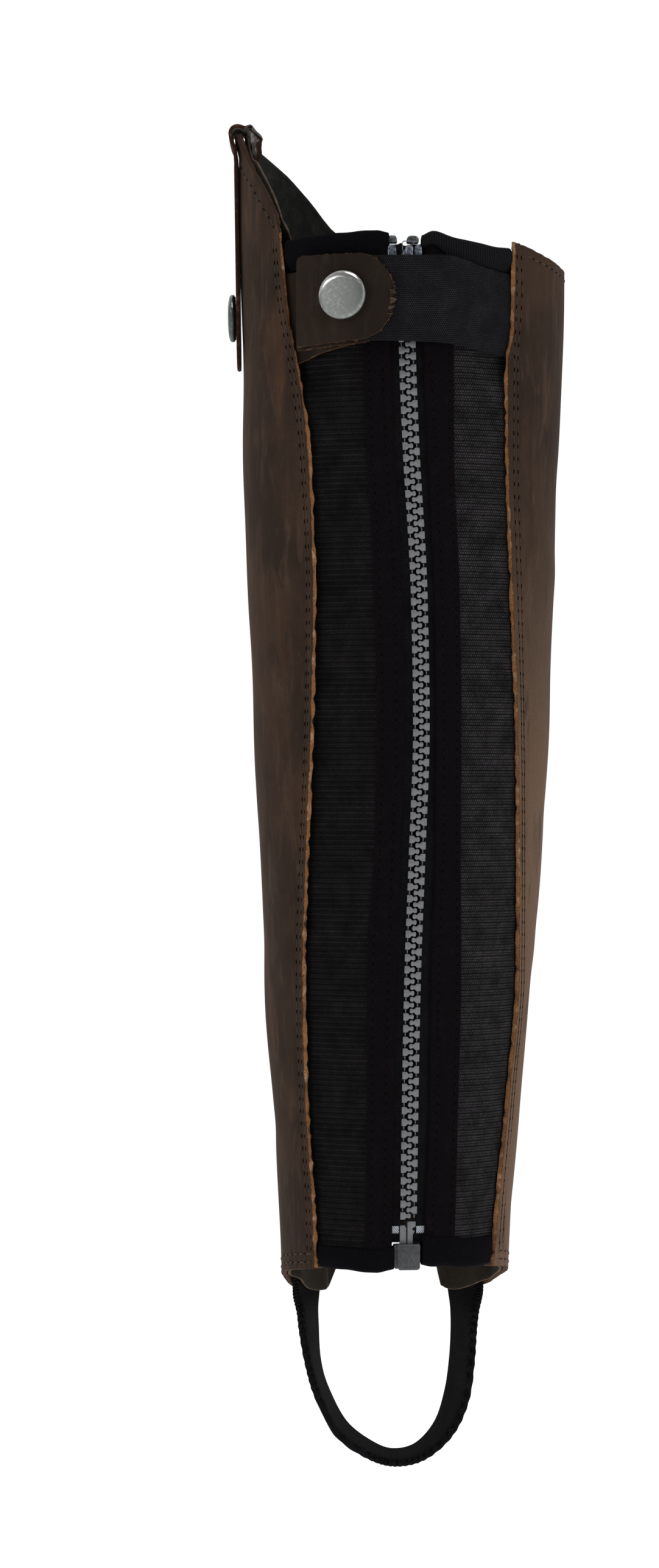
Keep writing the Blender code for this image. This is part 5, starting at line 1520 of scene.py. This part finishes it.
def thread(name, dark, light, gloss=0.2, sheen=0.08):
    """Waxed twisted thread: a dull cord with a slanting twist."""
    made, tree = new_finish(name, {
        "Roughness": 0.75, "Specular IOR Level": gloss, "Sheen Weight": sheen})
    here = add(tree, "ShaderNodeTexCoord", out="Object")
    twist = add(tree, "ShaderNodeTexWave", {
        "Vector": here, "Scale": WAVE_SCALE / (0.4 * MM), "Distortion": 0.5, "Detail": 2.0,
        "Detail Scale": 1.5}, "Fac", bands_direction="DIAGONAL")
    lint = add(tree, "ShaderNodeTexNoise", {
        "Vector": here, "Scale": 1 / (0.5 * MM), "Detail": 3, "Roughness": 0.7})
    shade = add(tree, "ShaderNodeMath", {0: twist, 1: lint}, operation="MULTIPLY")
    base = add(tree, "ShaderNodeValToRGB", {0: shade}, stops=((0.1, dark), (0.5, light)))
    return finished(made, base)


brown_thread = thread("brown waxed thread", "#241B16", "#4A3B32")
black_thread = thread("black thread", "#040404", "#111113", 0.05, 0.0)
# Needle holes are near-black beads: painted shade in the holes.
painted_shade_hole = new_finish("painted shade of a needle hole", {
    "Base Color": "#0A0706", "Roughness": 1.0, "Specular IOR Level": 0.0})[0]


def stitches(name, rows, pitch, length, width, finish):
    """All the rows of one thread as one piece."""
    made = grown(name, line_on_leg(rows, 1.5), stitch_tree, {
        "Pitch": pitch * MM, "Length": length * MM, "Width": width * MM, "Height": width * 0.9 * MM,
        "Thread": finish, "Hole": painted_shade_hole, "Hole Length": (pitch - length) * 1.5 * MM})
    return dress(made, [])


def seam_row(name, low, high, turn=0):
    """A stitch row beside a cut edge, on the leather's real relief."""
    z = np.linspace(low, high, 160)
    angle = angle_at(read(SEAM_ROWS, "z", name, z), z) + turn
    return angle, z, leather_out(angle, z) + 0.12


def edge_row(edges, first, last, up, out):
    """A stitch row that follows the top or hem, moved up or down from it."""
    angle = np.linspace(first, last, 200)
    z = read(edges, "angle", "z", angle) + up
    return angle, z, leather_out(angle, z) + out


PEAK_ROW = table(
    "angle z",
    (262, 57.5), (270, 58.0), (279, 56.0), (284.5, 51.0), (289.7, 47.6), (294.1, 44.4), (297.5, 40.7),
    (300.8, 37.1), (304.6, 32.8), (307.1, 29.9), (309.5, 24.5),
)
peak_row_angle = np.linspace(279, 309, 90)
peak_row_z = read(PEAK_ROW, "angle", "z", peak_row_angle)
leather_rows = [
    seam_row("left_far", -350, 22, 360), seam_row("left_near", -350, 22, 360),
    seam_row("right_near", -349, 17), seam_row("right_far", -349, 17),
    (peak_row_angle, peak_row_z, leather_out(peak_row_angle, peak_row_z) + 0.06),
    edge_row(TOP, 47, 200, -3.2, 0.06), edge_row(TOP, 204, 254, -4.2, 0.06),
    edge_row(HEM, 60, 116, 2.6, 0.06), edge_row(HEM, 60, 116, 5.6, 0.06),
    edge_row(HEM, 262, 313, 2.4, 0.06), edge_row(HEM, 262, 313, 5.4, 0.06),
    edge_row(HEM, 116, 262, 3.2, 0.06), edge_row(HEM, 116, 262, 6.4, 0.06),
]
leather_thread = stitches("leather_stitching", leather_rows, 4.6, 3.5, 0.42, brown_thread)
dress(panel, ["leather_body"])


def cloth_row(name, shift, low, high, out):
    z = np.linspace(low, high, 120)
    return line_angle(name, z, shift), z, out + 0 * z


SEAM_OUT = ELASTIC_FACE + 0.5
cloth_rows = [
    cloth_row("seam_left", 2.2, -345, 14, SEAM_OUT), cloth_row("zip", -PANEL_EDGE - 3.0, -345, 14, SEAM_OUT),
    cloth_row("seam_right", -1.6, -342, 14, SEAM_OUT), cloth_row("panel_right", 2.8, -342, 14, SEAM_OUT),
]
stitches("cloth_stitching", cloth_rows, 3.4, 2.6, 0.45, black_thread)

# ------------------------------
# Stage: a pale floor under a white sky, with soft lamps at both sides and above.

FLOOR_Z, FLOOR_HALF = -0.47, 6.0
floor_mesh = bpy.data.meshes.new("floor")
floor_corners = [(x * FLOOR_HALF, y * FLOOR_HALF, FLOOR_Z) for x, y in ((-1, -1), (1, -1), (1, 1), (-1, 1))]
floor_mesh.from_pydata(floor_corners, [], [(0, 1, 2, 3)])
floor_finish = new_finish("matt white floor", {
    "Base Color": (0.93, 0.93, 0.93, 1), "Roughness": 1.0, "Specular IOR Level": 0.0,
    "Emission Color": (1, 1, 1, 1), "Emission Strength": 0.6})[0]
floor = add_object("floor", floor_mesh, (floor_finish,))

world = bpy.data.worlds.new("white studio")
world.use_nodes = True
sky = world.node_tree
sky.nodes.clear()
way = add(sky, "ShaderNodeTexCoord", out="Generated")
behind = add(sky, "ShaderNodeMapRange", {
    "Value": add(sky, "ShaderNodeSeparateXYZ", {0: way}, "Y"), "From Min": -1.0, "From Max": 0.5,
    "To Min": 0.14, "To Max": 0.85})
lit = add(sky, "ShaderNodeBackground", {"Strength": behind})
seen = add(sky, "ShaderNodeBackground", {"Color": (1, 1, 1, 1), "Strength": 1.05})
looked_at = add(sky, "ShaderNodeLightPath", out="Is Camera Ray")
chosen = add(sky, "ShaderNodeMixShader", {0: looked_at, 1: lit, 2: seen})
add(sky, "ShaderNodeOutputWorld", {0: chosen})
bpy.context.scene.world = world
bpy.context.scene.view_settings.view_transform = "Standard"

LAMPS = (  # name, place, aimed at, size, power
    ("lamp_left", (-1.5, -1.1, 0.5), (0, 0, -0.1), 0.9, 8),
    ("lamp_right", (1.5, -1.2, 0.4), (0, 0, -0.1), 0.9, 10),
    ("lamp_above", (-0.1, -0.7, 1.4), (0, 0, 0), 0.8, 7),
)
for name, place, aim, size, power in LAMPS:
    lamp_data = bpy.data.lights.new(name, "AREA")
    lamp_data.size = size
    lamp_data.energy = power
    lamp = bpy.data.objects.new(name, lamp_data)
    lamp.location = place
    lamp.rotation_euler = (Vector(aim) - Vector(place)).to_track_quat("-Z", "Y").to_euler()
    bpy.context.scene.collection.objects.link(lamp)
